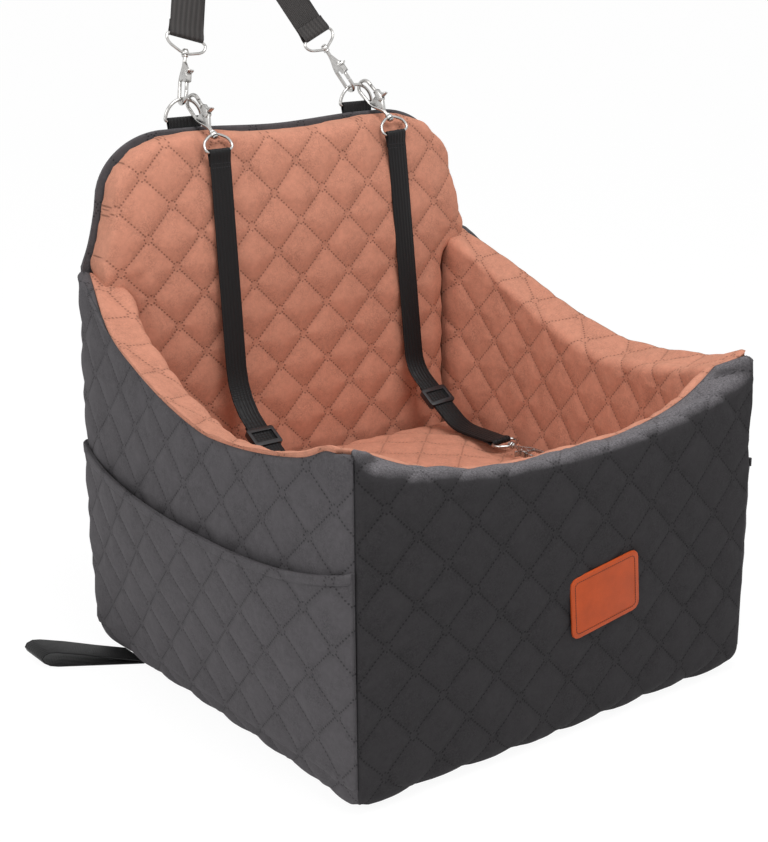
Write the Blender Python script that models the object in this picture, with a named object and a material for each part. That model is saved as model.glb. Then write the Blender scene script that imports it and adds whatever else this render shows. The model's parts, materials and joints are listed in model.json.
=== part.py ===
"""A dog car seat: padded walls on a raised base, a tall quilted backrest, two side pockets,
and webbing with swivel snap hooks that hangs from two rings on the backrest.

Lengths are metres. +X is right, +Y is to the rear, +Z is up, and the origin is in the
middle of the base."""

import math

import bmesh
import bpy
from mathutils import Matrix, Vector

# Whole seat
WIDTH = 0.480
DEPTH = 0.460
BACK_HEIGHT = 0.527
CORNER_HEIGHT = 0.329
SIDE_LOW_HEIGHT = 0.302
SIDE_REAR_HEIGHT = 0.402
FRONT_LOW_HEIGHT = 0.2755
CLEARANCE = 0.0003

# Walls: a grey cover outside, a foam board, a terracotta lining inside
WALL = 0.038
COVER = 0.003
LINING = 0.003
BASE_ROUND = 0.026
FLANGE = 0.018
RIM_ROUND = 0.010
RIM_FALL = 0.012
FRONT_CREASE_DROP = 0.0055
FRONT_END_RISE = 0.033
SIDE_BULGE = 0.020
FRONT_BULGE = 0.012
BULGE_HEIGHT = 0.200
FRONT_LINING_STRIP = 0.009
LINING_OVERLAP = 0.018

# Base block, cushion and backrest
BOOSTER_HEIGHT = 0.122
CUSHION_SIDE = 0.052
CUSHION_CROWN = 0.012
CUSHION_DRAW = 0.007
CUSHION_ROUND = 0.014
QUILT = 0.060
PUFF = 0.002
BACK_FOAM = 0.018
PAD_CROWN = 0.004
PAD_THIN = 0.010
PAD_ROUND = 0.014
PAD_THIN_REACH = 0.125
PAD_HEM = 0.012
PAD_INSET = 0.008
SHOULDER_INSET = 0.024
SHOULDER_RISE = 0.060
TOP_CORNER = 0.080
TOP_CORNER_DROP = 0.065
TOP_DIP = 0.004

# Pockets
POCKET_CORNER_HEIGHT = 0.2235
POCKET_SAG = 0.0178
POCKET_CLOTH = 0.003
POCKET_SLACK = 0.009
BINDING_HEIGHT = 0.012
BINDING_PROUD = 0.0015

# Patch
PATCH_WIDTH = 0.084
PATCH_HEIGHT = 0.063
PATCH_THICKNESS = 0.0022
PATCH_CORNER = 0.008
PATCH_STANDOFF = 0.0008
PATCH_X = 0.034
PATCH_Z = 0.139
PATCH_TURN = math.radians(3.0)

# Rings and their webbing tabs
WEBBING = 0.0014
RING_X = 0.108
RING_STAND = 0.007
RING_RADIUS = 0.021
RING_WIRE = 0.00175
RING_CORNER = 0.0025
TAB_WIDTH = 0.0365
TAB_LENGTH = 0.045
TAB_CLOSE = 0.014

# Swivel snap hooks
HOOK_REACH = 0.046
HOOK_ROD = 0.0020
EYE_RADIUS = 0.0055
WIRE_SEAT = 0.0027
TIP_RISE = 0.0040
SHANK_LENGTH = 0.0100
NECK_LENGTH = 0.0130
FLANGE_RADIUS = 0.0034
FLANGE_HEIGHT = 0.0018
COLLAR_RADIUS = 0.0040
COLLAR_HEIGHT = 0.0040
STEM_RADIUS = 0.0018
HEAD_RADIUS = 0.0032
HEAD_HEIGHT = 0.0018
LUG_THICKNESS = 0.0036
LUG_TOP = 0.0070
LUG_END = 0.0265
LUG_MARGIN = 0.0025
PIVOT_OUT = 0.0065
PIVOT_DROP = 0.0205
PIVOT_RADIUS = 0.0012
EAR_PLATE = 0.0010
EAR_GAP = 0.0005
EAR_RADIUS = 0.0034
EAR_LENGTH = 0.0082
GATE_WEB = 0.0012
GATE_BRIDGE = 0.0018
GATE_WIDTH = 0.0034
GATE_INSET = 0.0010
THUMB_REACH = 0.0050
THUMB_HEIGHT = 0.0026

# Bails, which the webbing is sewn round
BAIL_WIRE = 0.0015
BAIL_RISE = 0.018
BAIL_SHOULDER = 0.007
BAIL_NECK = 0.006
BAIL_CORNER = 0.003
BAIL_PLAY = 0.0013

# Strap over the two rings
HEAD_WEBBING_WIDTH = 0.038
HEAD_APEX_X = -0.020
HEAD_APEX_BACK = 0.09825
HEAD_APEX_RISE = 0.262
HEAD_BAR_RADIUS = 0.012
HEAD_BAR_SHIFT = 0.008
LEFT_HEAD_SLIP = math.radians(0.0)
RIGHT_HEAD_SLIP = math.radians(-22.0)

# Both tethers
TETHER_WIDTH = 0.024
TETHER_SLIP = math.radians(30.0)
TETHER_HOOK_TURN = math.radians(6.0)
TETHER_LIFT = 0.0062
BAIL_LEAN = math.radians(30.0)
LIE_RADIUS = 0.050
LAYER_GAP = 0.0004
FLARE = 0.010
SEWN_LAP = 0.014
TAIL = 0.006

# Each tether: what its hook aims at from the ring's middle, and where it bends and lies
LEFT_AIM_ASIDE = 0.0132
LEFT_AIM_FORWARD = 0.03875
LEFT_AIM_DROP = 0.015
LEFT_HOOK_PLAY = 0.0005
LEFT_BEND_RADIUS = 0.070
LEFT_SLIDE_LENGTH = 0.060
LEFT_LIE_LENGTH = 0.056
LEFT_ADJUSTER_PLACE = 0.016
RIGHT_AIM_ASIDE = 0.0210
RIGHT_AIM_FORWARD = 0.04275
RIGHT_AIM_DROP = 0.020
RIGHT_HOOK_PLAY = 0.0009
RIGHT_BEND_RADIUS = 0.036
RIGHT_SLIDE_LENGTH = 0.060
RIGHT_LIE_LENGTH = 0.051
RIGHT_ADJUSTER_PLACE = 0.028
TETHERS = {
    "left": {"aim": Vector((LEFT_AIM_ASIDE, -LEFT_AIM_FORWARD, -LEFT_AIM_DROP)),
             "roll": math.radians(0.0), "lean": math.radians(4.7),
             "slope": math.radians(60.0), "bend": LEFT_BEND_RADIUS,
             "slide": LEFT_SLIDE_LENGTH, "lie": LEFT_LIE_LENGTH,
             "adjuster": LEFT_ADJUSTER_PLACE, "play": LEFT_HOOK_PLAY},
    "right": {"aim": Vector((RIGHT_AIM_ASIDE, -RIGHT_AIM_FORWARD, -RIGHT_AIM_DROP)),
              "roll": math.radians(3.2), "lean": math.radians(3.2),
              "slope": math.radians(57.0), "bend": RIGHT_BEND_RADIUS,
              "slide": RIGHT_SLIDE_LENGTH, "lie": RIGHT_LIE_LENGTH,
              "adjuster": RIGHT_ADJUSTER_PLACE, "play": RIGHT_HOOK_PLAY},
}
ADJUSTER_WIDTH = 0.0320
ADJUSTER_LENGTH = 0.0240
ADJUSTER_PLATE = 0.0016
ADJUSTER_BAR = 0.0050
ADJUSTER_CORNER = 0.0025
DIMPLE_LENGTH = 0.033
DIMPLE_WIDTH = 0.016
DIMPLE_DEPTH = 0.0105
DIMPLE_PLACE = 0.009

# Webbing loop at the lower left rear
LOOP_WIDTH = 0.040
LOOP_LENGTH = 0.086
LOOP_DRIFT = 0.056
LOOP_RISE = 0.016
LOOP_Y = 0.170
LOOP_TUCK = 0.0110
LOOP_FLOOR = 0.0005

# Counts
FOOT_STEPS = 4
ROUND_STEPS = 2
PAD_ROWS = 13
CUSHION_COLUMNS = 13
CUSHION_ROWS = 12
TURN_STEPS = 6

# Shares that shape the soft outlines
WALL_SHARES = (0, 0.16, 0.33, 0.50, 0.66, 0.82, 0.94, 1)
BULGE_POWER_SHARE = 3.0
LOW_POINT_SHARE = 0.40
REAR_RISE_POWER_SHARE = 1.5
CREASE_POWER_SHARE = 2.2
EAR_START_SHARE = 0.93
SHOULDER_SHARES = (0.92, 1)
POCKET_FRONT_POWER_SHARE = 4.0
POCKET_REAR_POWER_SHARE = 1.5
POCKET_SLACK_POWER_SHARE = 1.5
CUSHION_INNER_SHARE = 0.93
CUSHION_END_SHARE = 0.45
NECK_SHARE = 0.45
LOOP_SHARES = (0, 0.30, 0.60, 0.85)
LOOP_RISE_SHARES = (0.14, 0.42, 0.75, 0.95)

UP = Vector((0, 0, 1))
REARWARD = Vector((0, 1, 0))
ON_EDGE = Matrix(((1, 0, 0), (0, 0, -1), (0, 1, 0))).to_4x4()
SIDEWAYS = Matrix(((0, 0, 1), (1, 0, 0), (0, 1, 0))).to_4x4()


# Scene, finishes and small helpers

def clear_scene():
    for leftover in list(bpy.data.objects):
        bpy.data.objects.remove(leftover)


def new_collection(name):
    group = bpy.data.collections.new(name)
    bpy.context.scene.collection.children.link(group)
    return group


def new_finish(name, colour, roughness, metallic=0.0):
    finish = bpy.data.materials.new(name)
    finish.use_nodes = True
    shader = finish.node_tree.nodes["Principled BSDF"]
    shader.inputs["Base Color"].default_value = (*colour, 1.0)
    shader.inputs["Roughness"].default_value = roughness
    shader.inputs["Metallic"].default_value = metallic
    finish.diffuse_color = (*colour, 1.0)
    return finish


def seat_finishes():
    """One finish for each stuff that the seat is made of."""
    return {
        "grey_velvet": new_finish("grey_velvet", (0.060, 0.060, 0.066), 0.9),
        "terracotta_velvet": new_finish("terracotta_velvet", (0.48, 0.17, 0.10), 0.9),
        "foam": new_finish("foam", (0.75, 0.74, 0.66), 1.0),
        "base_cloth": new_finish("base_cloth", (0.03, 0.03, 0.03), 0.8),
        "webbing": new_finish("webbing", (0.010, 0.010, 0.012), 0.6),
        "head_webbing": new_finish("head_webbing", (0.045, 0.042, 0.040), 0.6),
        "nickel": new_finish("nickel", (0.75, 0.74, 0.72), 0.18, 1.0),
        "black_plastic": new_finish("black_plastic", (0.012, 0.012, 0.014), 0.35),
        "leather": new_finish("leather", (0.56, 0.15, 0.04), 0.5),
    }


def steps(count):
    return [step / count for step in range(count + 1)]


def smooth_share(share):
    """Ease from 0 to 1 with level ends."""
    share = min(max(share, 0.0), 1.0)
    return share * share * (3 - 2 * share)


def swell_share(share):
    """A bulge that is full along the middle and gone at both ends."""
    return 1 - abs(share) ** BULGE_POWER_SHARE


def mirrored(values):
    """Stations from minus to plus, out of those from the middle outwards."""
    return [-value for value in reversed(values) if value] + list(values)


def arc(centre, radius, start, end, count):
    """Points of an arc in a plane, from one angle to another."""
    angles = [start + (end - start) * step for step in steps(count)]
    return [(centre[0] + radius * math.cos(a), centre[1] + radius * math.sin(a)) for a in angles]


def rounded_outline(width, height, corner, count=3):
    """A rounded rectangle about the origin."""
    points = []
    for k, (sx, sy) in enumerate(((1, 1), (-1, 1), (-1, -1), (1, -1))):
        centre = (sx * (width / 2 - corner), sy * (height / 2 - corner))
        points += arc(centre, corner, k * math.pi / 2, (k + 1) * math.pi / 2, count)
    return points


def axes(origin, z, x):
    """A frame at a place, with Z along one direction and X as near as can be to another."""
    z = z.normalized()
    x = (x - z * x.dot(z)).normalized()
    frame = Matrix((x, z.cross(x), z)).transposed().to_4x4()
    frame.translation = origin
    return frame


# Solids

def object_from(bm, name, finish, group, frame=Matrix()):
    mesh = bpy.data.meshes.new(name)
    bm.to_mesh(mesh)
    bm.free()
    mesh.materials.append(finish)
    mesh.shade_smooth()
    mesh.set_sharp_from_angle(angle=math.radians(35))
    return placed(mesh, name, group, frame)


def placed(mesh, name, group, frame=Matrix()):
    thing = bpy.data.objects.new(name, mesh)
    thing.matrix_world = frame
    group.objects.link(thing)
    return thing


def twisted(corners):
    """Whether four corners are out of one plane."""
    first, second, third, fourth = (corner.co for corner in corners)
    normal = (third - first).cross(fourth - second)
    return abs((second - first).dot(normal)) > normal.length * CLEARANCE / 10


def loft(name, rings, finish, group, quilted=0):
    """A closed solid through rings of equal count. The first faces of each ring, as many as
    are quilted, fold along the stitched diagonals. Other twisted faces fold from the lower
    near corner to the upper far one, so that neighbouring layers fold alike."""
    bm = bmesh.new()
    grid = [[bm.verts.new(point) for point in ring] for ring in rings]
    for i, (near, far) in enumerate(zip(grid, grid[1:])):
        for j in range(len(near)):
            k = (j + 1) % len(near)
            corners = (near[j], far[j], far[k], near[k])
            turn = near[k].co.z < near[j].co.z
            if j < quilted:
                turn = (i + j) % 2
            if j < quilted or twisted(corners):
                corners = corners[turn:] + corners[:turn]
                bm.faces.new(corners[:3])
                bm.faces.new((corners[0], corners[2], corners[3]))
            else:
                bm.faces.new(corners)
    bm.faces.new(grid[0])
    bm.faces.new(grid[-1][::-1])
    bmesh.ops.recalc_face_normals(bm, faces=bm.faces)
    return object_from(bm, name, finish, group)


def curve_mesh(curve, name, finish, group, frame):
    """Turn a curve into a welded mesh object at a frame."""
    guide = bpy.data.objects.new(name, curve)
    group.objects.link(guide)
    bpy.context.view_layer.update()
    graph = bpy.context.evaluated_depsgraph_get()
    mesh = bpy.data.meshes.new_from_object(guide.evaluated_get(graph))
    bpy.data.objects.remove(guide)
    bm = bmesh.new()
    bm.from_mesh(mesh)
    bpy.data.meshes.remove(mesh)
    bmesh.ops.remove_doubles(bm, verts=bm.verts, dist=CLEARANCE / 10)
    bmesh.ops.recalc_face_normals(bm, faces=bm.faces)
    return object_from(bm, name, finish, group, frame)


def rod(name, points, radius, finish, group, frame=Matrix(), cyclic=False):
    """A wire or rod along points given in the frame's own axes."""
    curve = bpy.data.curves.new(name, "CURVE")
    curve.dimensions = "3D"
    curve.bevel_depth = radius
    curve.bevel_resolution = 2
    curve.use_fill_caps = not cyclic
    line = curve.splines.new("POLY")
    line.points.add(len(points) - 1)
    for spot, point in zip(line.points, points):
        spot.co = (*point, 1.0)
    line.use_cyclic_u = cyclic
    return curve_mesh(curve, name, finish, group, frame)


def plate(name, outline, thickness, finish, group, frame=Matrix()):
    """A flat plate of an outline, centred on the frame's own XY plane."""
    curve = bpy.data.curves.new(name, "CURVE")
    curve.dimensions = "2D"
    curve.fill_mode = "BOTH"
    curve.extrude = thickness / 2
    line = curve.splines.new("POLY")
    line.points.add(len(outline) - 1)
    for spot, (x, y) in zip(line.points, outline):
        spot.co = (x, y, 0, 1.0)
    line.use_cyclic_u = True
    return curve_mesh(curve, name, finish, group, frame)


def disc(name, radius, height, finish, group, frame, segments=16):
    """A cylinder along the frame's Z, centred on its origin."""
    bm = bmesh.new()
    bmesh.ops.create_cone(bm, cap_ends=True, segments=segments, radius1=radius,
                          radius2=radius, depth=height)
    return object_from(bm, name, finish, group, frame)


def block(name, low, high, finish, group, frame=Matrix()):
    """A box between two corners, in the frame's own axes."""
    bm = bmesh.new()
    bmesh.ops.create_cube(bm, size=1)
    for vert in bm.verts:
        vert.co = [l if side < 0 else h for l, h, side in zip(low, high, vert.co)]
    return object_from(bm, name, finish, group, frame)


def cut(target, operand, operation, cutters):
    """Join or cut one piece by another, which becomes a hidden cutter."""
    step = target.modifiers.new(operand.name, "BOOLEAN")
    step.operation = operation
    step.solver = "EXACT"
    step.object = operand
    for group in list(operand.users_collection):
        group.objects.unlink(operand)
    cutters.objects.link(operand)
    operand.hide_render = True
    operand.display_type = "WIRE"


def baked(target):
    """The finished mesh of a piece and its modifiers, where the piece lies."""
    bpy.context.view_layer.update()
    graph = bpy.context.evaluated_depsgraph_get()
    mesh = bpy.data.meshes.new_from_object(target.evaluated_get(graph))
    mesh.transform(target.matrix_world)
    for operand in [step.object for step in target.modifiers]:
        bpy.data.objects.remove(operand)
    bpy.data.objects.remove(target)
    return mesh


def ribbon(name, path, width, finish, group):
    """Webbing along a path of places, each with the direction across the webbing."""
    rings = []
    for k, (place, across) in enumerate(path):
        before = path[max(k - 1, 0)][0]
        after = path[min(k + 1, len(path) - 1)][0]
        out = across.cross(after - before).normalized() * WEBBING / 2
        side = across * width / 2
        rings.append([place + side + out, place - side + out,
                      place - side - out, place + side - out])
    return loft(name, rings, finish, group)


def turn_round(centre, start, over, radius, across):
    """Half a turn of webbing round a bar, from one side, over the bar, to the other."""
    angles = [math.pi * step for step in steps(TURN_STEPS)]
    return [(centre + (start * math.cos(a) + over * math.sin(a)) * radius, across)
            for a in angles]


# Walls of the box

class Wall:
    """One side of the box: its outer face at the floor, the way along it and the way in."""

    def __init__(self, centre, along, inward, half, bulge):
        self.centre = Vector(centre)
        self.along = Vector(along)
        self.inward = Vector(inward)
        self.half = half
        self.bulge = bulge

    def swell(self, share, height):
        return self.bulge * swell_share(share) * smooth_share(height / BULGE_HEIGHT)

    def point(self, share, inset, height, butted=False):
        """A point at a share of the wall's length, from -1 to 1. Its ends are mitred, or its
        rear end is butted against the back cover."""
        setback = max(inset, 0.0)
        if butted and share > 0:
            setback = back_cover_depth(height)
        run = share * (self.half - setback - CLEARANCE)
        out = inset - self.swell(share, height)
        return self.centre + self.along * run + self.inward * out + UP * height

    def rings(self, section, butted=False):
        return [[self.point(share, inset, z, butted) for inset, z in section(share)]
                for share in mirrored(WALL_SHARES)]


FRONT = Wall((0, -DEPTH / 2, 0), (1, 0, 0), (0, 1, 0), WIDTH / 2, FRONT_BULGE)
LEFT = Wall((-WIDTH / 2, 0, 0), (0, 1, 0), (1, 0, 0), DEPTH / 2, SIDE_BULGE)
RIGHT = Wall((WIDTH / 2, 0, 0), (0, 1, 0), (-1, 0, 0), DEPTH / 2, SIDE_BULGE)
SIDES = {"left": LEFT, "right": RIGHT}
LINING_FOOT = BOOSTER_HEIGHT - LINING_OVERLAP
SKIN = COVER + CLEARANCE
UNDER_LINING = LINING + CLEARANCE


def back_cover_depth(height):
    """How far in the inner face of the back cover lies at a height."""
    below = BASE_ROUND - height
    if below <= 0:
        return SKIN
    return BASE_ROUND - math.sqrt(max((BASE_ROUND - SKIN) ** 2 - below ** 2, 0.0))


def side_rim(share):
    """Height of a side wall's outer top edge: high at the corner, low past it, high at the
    backrest."""
    along = (share + 1) / 2
    if along < LOW_POINT_SHARE:
        rise = ((LOW_POINT_SHARE - along) / LOW_POINT_SHARE) ** 2
        return SIDE_LOW_HEIGHT + (CORNER_HEIGHT - SIDE_LOW_HEIGHT) * rise
    rise = ((along - LOW_POINT_SHARE) / (1 - LOW_POINT_SHARE)) ** REAR_RISE_POWER_SHARE
    return SIDE_LOW_HEIGHT + (SIDE_REAR_HEIGHT - SIDE_LOW_HEIGHT) * rise


def side_slope(share, inset):
    """Height of a side wall's top, which falls inwards from its outer edge."""
    fall = RIM_FALL * min(inset / (WALL - RIM_ROUND), 1)
    return side_rim(share) - fall


def side_top_height(x, y):
    """Height of a side wall's top under the backrest's wings."""
    share = min(y / (DEPTH / 2 - SKIN - CLEARANCE), 1)
    inset = WIDTH / 2 + RIGHT.swell(share, BULGE_HEIGHT) - abs(x)
    return side_slope(share, max(inset, 0.0))


def front_rim(share):
    """Height of the front wall's top where the lining strip starts."""
    rise = CORNER_HEIGHT - RIM_FALL - FRONT_LOW_HEIGHT
    return FRONT_LOW_HEIGHT + rise * abs(share) ** BULGE_POWER_SHARE


def front_crease(share):
    """Height of the front wall's outer top edge, gathered into an ear at each corner."""
    low = FRONT_LOW_HEIGHT - FRONT_CREASE_DROP
    ear = max((abs(share) - EAR_START_SHARE) / (1 - EAR_START_SHARE), 0.0)
    rise = FRONT_END_RISE * abs(share) ** CREASE_POWER_SHARE
    return low + rise + (CORNER_HEIGHT - low - FRONT_END_RISE) * ear


def foot(depth):
    """The rounded bottom edge at a depth under the skin, from the flange outwards."""
    centre = (BASE_ROUND, BASE_ROUND)
    return arc(centre, BASE_ROUND - depth, -math.pi / 2, -math.pi, FOOT_STEPS)


def rows(inset):
    """Places up a wall's face where its bulge is followed, shared by all its layers."""
    heights = [(BASE_ROUND + LINING_FOOT) / 2, LINING_FOOT,
               (LINING_FOOT + BULGE_HEIGHT) / 2, BULGE_HEIGHT]
    return [(inset, height) for height in heights]


def flange(depth):
    return [(BASE_ROUND + FLANGE, depth)] + foot(depth) + rows(depth)


def side_cover_section(share):
    under = LINING + CLEARANCE
    outer = flange(0) + [(0, side_slope(share, 0) - under)]
    inner = flange(COVER) + [(COVER, side_slope(share, COVER) - under)]
    return outer + inner[::-1]


def front_top(share, depth):
    """The front cover's way over the wall's top, from the crease to the lining strip."""
    centre = (RIM_ROUND, front_crease(share) - RIM_ROUND)
    over = arc(centre, RIM_ROUND - depth, math.pi, math.pi / 2, ROUND_STEPS)
    return over + [(WALL - FRONT_LINING_STRIP, front_rim(share) - depth)]


def front_cover_section(share):
    outer = flange(0) + front_top(share, 0)
    inner = flange(COVER) + front_top(share, COVER)
    return outer + inner[::-1]


def side_top(share, depth):
    """The lining's way over a side wall's top, from its outer edge to its inner face."""
    start = max(depth - LINING, 0)
    low = side_slope(share, WALL)
    over = arc((WALL - RIM_ROUND, low - RIM_ROUND), RIM_ROUND - depth, math.pi / 2, 0,
               ROUND_STEPS)
    return [(start, side_slope(share, start) - depth)] + over


def front_lining_top(share, depth):
    """The lining's strip round the inner edge of the front wall's top."""
    small = FRONT_LINING_STRIP - 2 * CLEARANCE
    centre = (WALL - small, front_rim(share) - small)
    return arc(centre, small - depth, math.pi / 2, 0, ROUND_STEPS)


def lining_section(top_path):
    def section(share):
        outer = top_path(share, 0) + rows(WALL)[:0:-1]
        inner = top_path(share, LINING) + rows(WALL - LINING)[:0:-1]
        return outer + inner[::-1]
    return section


def side_foam_section(share):
    top = side_top(share, UNDER_LINING)
    top[0] = (SKIN, side_slope(share, SKIN) - UNDER_LINING)
    bottom = [(WALL - UNDER_LINING, SKIN)] + foot(SKIN) + rows(SKIN)
    return bottom + top + rows(WALL - UNDER_LINING)[::-1]


def front_foam_section(share):
    edge = front_lining_top(share, UNDER_LINING)
    bottom = [(WALL - UNDER_LINING, SKIN)] + foot(SKIN) + rows(SKIN)
    top = front_top(share, SKIN)[:-1] + [(edge[0][0] - CLEARANCE, edge[0][1])] + edge[1:]
    return bottom + top + rows(WALL - UNDER_LINING)[::-1]


def walls(finishes, group):
    """Covers, foam boards and linings of the front and the two sides."""
    grey = finishes["grey_velvet"]
    terracotta = finishes["terracotta_velvet"]
    foam = finishes["foam"]
    loft("outer_front_panel", FRONT.rings(front_cover_section), grey, group)
    loft("front_foam", FRONT.rings(front_foam_section), foam, group)
    loft("front_liner", FRONT.rings(lining_section(front_lining_top)), terracotta, group)
    for side, wall in SIDES.items():
        cover = wall.rings(side_cover_section)
        board = wall.rings(side_foam_section, butted=True)
        lining = wall.rings(lining_section(side_top), butted=True)
        loft(f"outer_{side}_panel", cover, grey, group)
        loft(f"{side}_foam", board, foam, group)
        loft(f"{side}_liner", lining, terracotta, group)


# Backrest

SHOULDER_HALF = WIDTH / 2 - SHOULDER_INSET
PAD_HALF = WIDTH / 2 - PAD_INSET


def back_outline(x):
    """Height of the backrest's edge at a distance from its middle: rounded shoulders, a
    slight dip between the two ring tabs, and a flare out to the side walls."""
    across = abs(x)
    if across > SHOULDER_HALF:
        share = (WIDTH / 2 - across) / (WIDTH / 2 - SHOULDER_HALF)
        return SIDE_REAR_HEIGHT + SHOULDER_RISE * max(share, 0.0) ** 2
    corner = max(across - (SHOULDER_HALF - TOP_CORNER), 0.0) / TOP_CORNER
    drop = TOP_CORNER_DROP * (1 - math.sqrt(max(1 - corner ** 2, 0.0)))
    dip = TOP_DIP * (1 - smooth_share(across / RING_X))
    return BACK_HEIGHT - dip - drop


def between_walls():
    """Half the room that the side walls leave for the backrest's padding."""
    return WIDTH / 2 - WALL - 2 * CLEARANCE


def pad_middle():
    """Stations across the padding between the walls, half a diamond apart."""
    count = int(between_walls() / (QUILT / 2))
    return mirrored([QUILT / 2 * k for k in range(count + 1)] + [between_walls()])


def shoulder_places():
    """Stations out over the side walls."""
    places = [SHOULDER_HALF - TOP_CORNER * (1 - share) for share in SHOULDER_SHARES]
    return places + [(SHOULDER_HALF + PAD_HALF) / 2, PAD_HALF]


def back_panel(finish, group):
    ends = shoulder_places() + [(PAD_HALF + WIDTH / 2) / 2, WIDTH / 2]
    places = [-x for x in reversed(ends)] + pad_middle() + ends
    rings = []
    for x in places:
        share = x / (WIDTH / 2)
        outer = [(BASE_ROUND + FLANGE, 0)] + foot(0) + [(0, back_outline(x))]
        inner = [(BASE_ROUND + FLANGE, COVER)] + foot(COVER) + [(COVER, back_outline(x))]
        rings.append([Vector((share * (WIDTH / 2 - inset - CLEARANCE), DEPTH / 2 - inset, z))
                      for inset, z in outer + inner[::-1]])
    return loft("outer_back_panel", rings, finish, group)


def back_foam(finish, group):
    """A foam board behind the pad, between the side walls."""
    deep = SKIN + BACK_FOAM
    edge = [(inset, z) for inset, z in foot(SKIN) if inset < deep]
    rings = []
    for x in pad_middle():
        top = back_outline(x) - PAD_HEM
        section = [(deep, edge[0][1])] + edge + [(SKIN, top), (deep, top)]
        rings.append([Vector((x, DEPTH / 2 - inset, z)) for inset, z in section])
    return loft("back_foam", rings, finish, group)


def pad_front(x, z):
    """How far back the pad's front face lies: crowned, and thinner towards the top."""
    rise = smooth_share(1 - (BACK_HEIGHT - z) / PAD_THIN_REACH)
    crown = PAD_CROWN * (1 - (x / PAD_HALF) ** 2)
    return DEPTH / 2 - WALL - CLEARANCE + PAD_THIN * rise - crown


def pad_top(edge, face_top, top, rear):
    """The rounded way from the pad's front face up to its seam."""
    reach = min(PAD_ROUND, rear - edge)
    angles = [math.pi / 2 * step for step in steps(3)[1:]]
    return [(edge + reach * (1 - math.cos(a)), face_top + (top - face_top) * math.sin(a))
            for a in angles]


def pad_ring(x, station):
    """A cut through the pad from its foot up the front and over to the seam at the rear."""
    wing = abs(x) > between_walls()
    seam = DEPTH / 2 - SKIN
    board = seam - CLEARANCE - BACK_FOAM
    top = back_outline(x)
    low = BOOSTER_HEIGHT + CLEARANCE
    rear_low = low
    if wing:
        low = side_top_height(x, pad_front(x, 0)) + CLEARANCE
        rear_low = side_top_height(x, seam) + CLEARANCE
    face_top = top - min(PAD_ROUND, (top - low) / 2)
    front = []
    for row, step in enumerate(steps(PAD_ROWS)):
        z = low + (face_top - low) * step
        puffed = (station + row) % 2 and 0 < row < PAD_ROWS
        puffed = puffed and abs(x) < between_walls() - QUILT / 4
        front.append((pad_front(x, z) - (PUFF if puffed else 0), z))
    over = pad_top(pad_front(x, face_top), face_top, top, seam)
    if wing:
        rear = [(seam, top + (rear_low - top) * step) for step in steps(3)]
    else:
        hem = top - PAD_HEM + CLEARANCE
        rear = [(seam, top), (seam, hem), (board, hem), (board, low)]
    return [Vector((x, y, z)) for y, z in front + over + rear]


def backrest_pad(hooks, finish, group, cutters):
    """The quilted pad, with a dimple where each tether's hook is drawn over its top edge."""
    outer = [between_walls() + CLEARANCE] + shoulder_places()
    places = [-x for x in reversed(outer)] + pad_middle() + outer
    rings = [pad_ring(x, station) for station, x in enumerate(places)]
    pad = loft("backrest_pad", rings, finish, group, PAD_ROWS)
    for side, hook in hooks.items():
        ball = bmesh.new()
        bmesh.ops.create_uvsphere(ball, u_segments=16, v_segments=8, radius=1)
        size = Matrix.Diagonal((DIMPLE_WIDTH, DIMPLE_DEPTH, DIMPLE_LENGTH, 1))
        bmesh.ops.transform(ball, matrix=size, verts=ball.verts)
        lie = axes(hook @ Vector((0, 0, -DIMPLE_PLACE)), hook.col[2].xyz, Vector((1, 0, 0)))
        cut(pad, object_from(ball, f"{side}_dimple", finish, cutters, lie), "DIFFERENCE", cutters)
    return pad


# Base and cushion

def bottom_panel(finish, group):
    edge = BASE_ROUND + FLANGE + CLEARANCE
    high = (WIDTH / 2 - edge, DEPTH / 2 - edge, COVER)
    return block("bottom_panel", (-high[0], -high[1], 0), high, finish, group)


def booster_foam(finish, group):
    half = WIDTH / 2 - WALL - CLEARANCE
    front = -DEPTH / 2 + WALL + CLEARANCE
    rear = DEPTH / 2 - SKIN - BACK_FOAM - CLEARANCE
    outline = [(front, SKIN), (DEPTH / 2 - BASE_ROUND, SKIN), (rear, foot(SKIN)[1][1]),
               (rear, BOOSTER_HEIGHT), (front, BOOSTER_HEIGHT)]
    return plate("booster_foam", outline, 2 * half, finish, group, SIDEWAYS)


def cushion_peak():
    return BOOSTER_HEIGHT + CLEARANCE + CUSHION_SIDE + CUSHION_CROWN + PUFF


def cushion_ring(v, station):
    """A cut across the cushion: crowned on top, its sides drawn in between its corners."""
    low = BOOSTER_HEIGHT + CLEARANCE
    end = abs(v) == 1
    front = -DEPTH / 2 + WALL + CLEARANCE
    rear = pad_front(0, low + CUSHION_SIDE) - PUFF - CLEARANCE
    side = CUSHION_SIDE * (CUSHION_END_SHARE if end else 1)
    base = low + (CUSHION_SIDE - side) / 2
    swell = RIGHT.swell(v, low) - CUSHION_DRAW * swell_share(v)
    half = WIDTH / 2 - WALL - CLEARANCE + swell
    ring = []
    for column, step in enumerate(steps(CUSHION_COLUMNS)):
        u = 2 * step - 1
        crown = CUSHION_CROWN * swell_share(u) * swell_share(v)
        puffed = (station + column) % 2 and 0 < column < CUSHION_COLUMNS and not end
        draw = CUSHION_DRAW * swell_share(u) if end else 0
        bulge = FRONT.swell(u, low) if v < 0 else 0
        reach = (rear - front) / 2 - draw + bulge
        place = (u * (half - CUSHION_ROUND / 2), (front + rear) / 2 + v * reach,
                 base + side + crown + (PUFF if puffed else 0))
        ring.append(Vector(place))
    y = (front + rear) / 2 + v * (rear - front) / 2
    edge = half - CUSHION_ROUND / 2
    skirt = [(half, side / 2), (edge, 0), (-edge, 0), (-half, side / 2)]
    return ring + [Vector((x, y, base + z)) for x, z in skirt]


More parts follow.
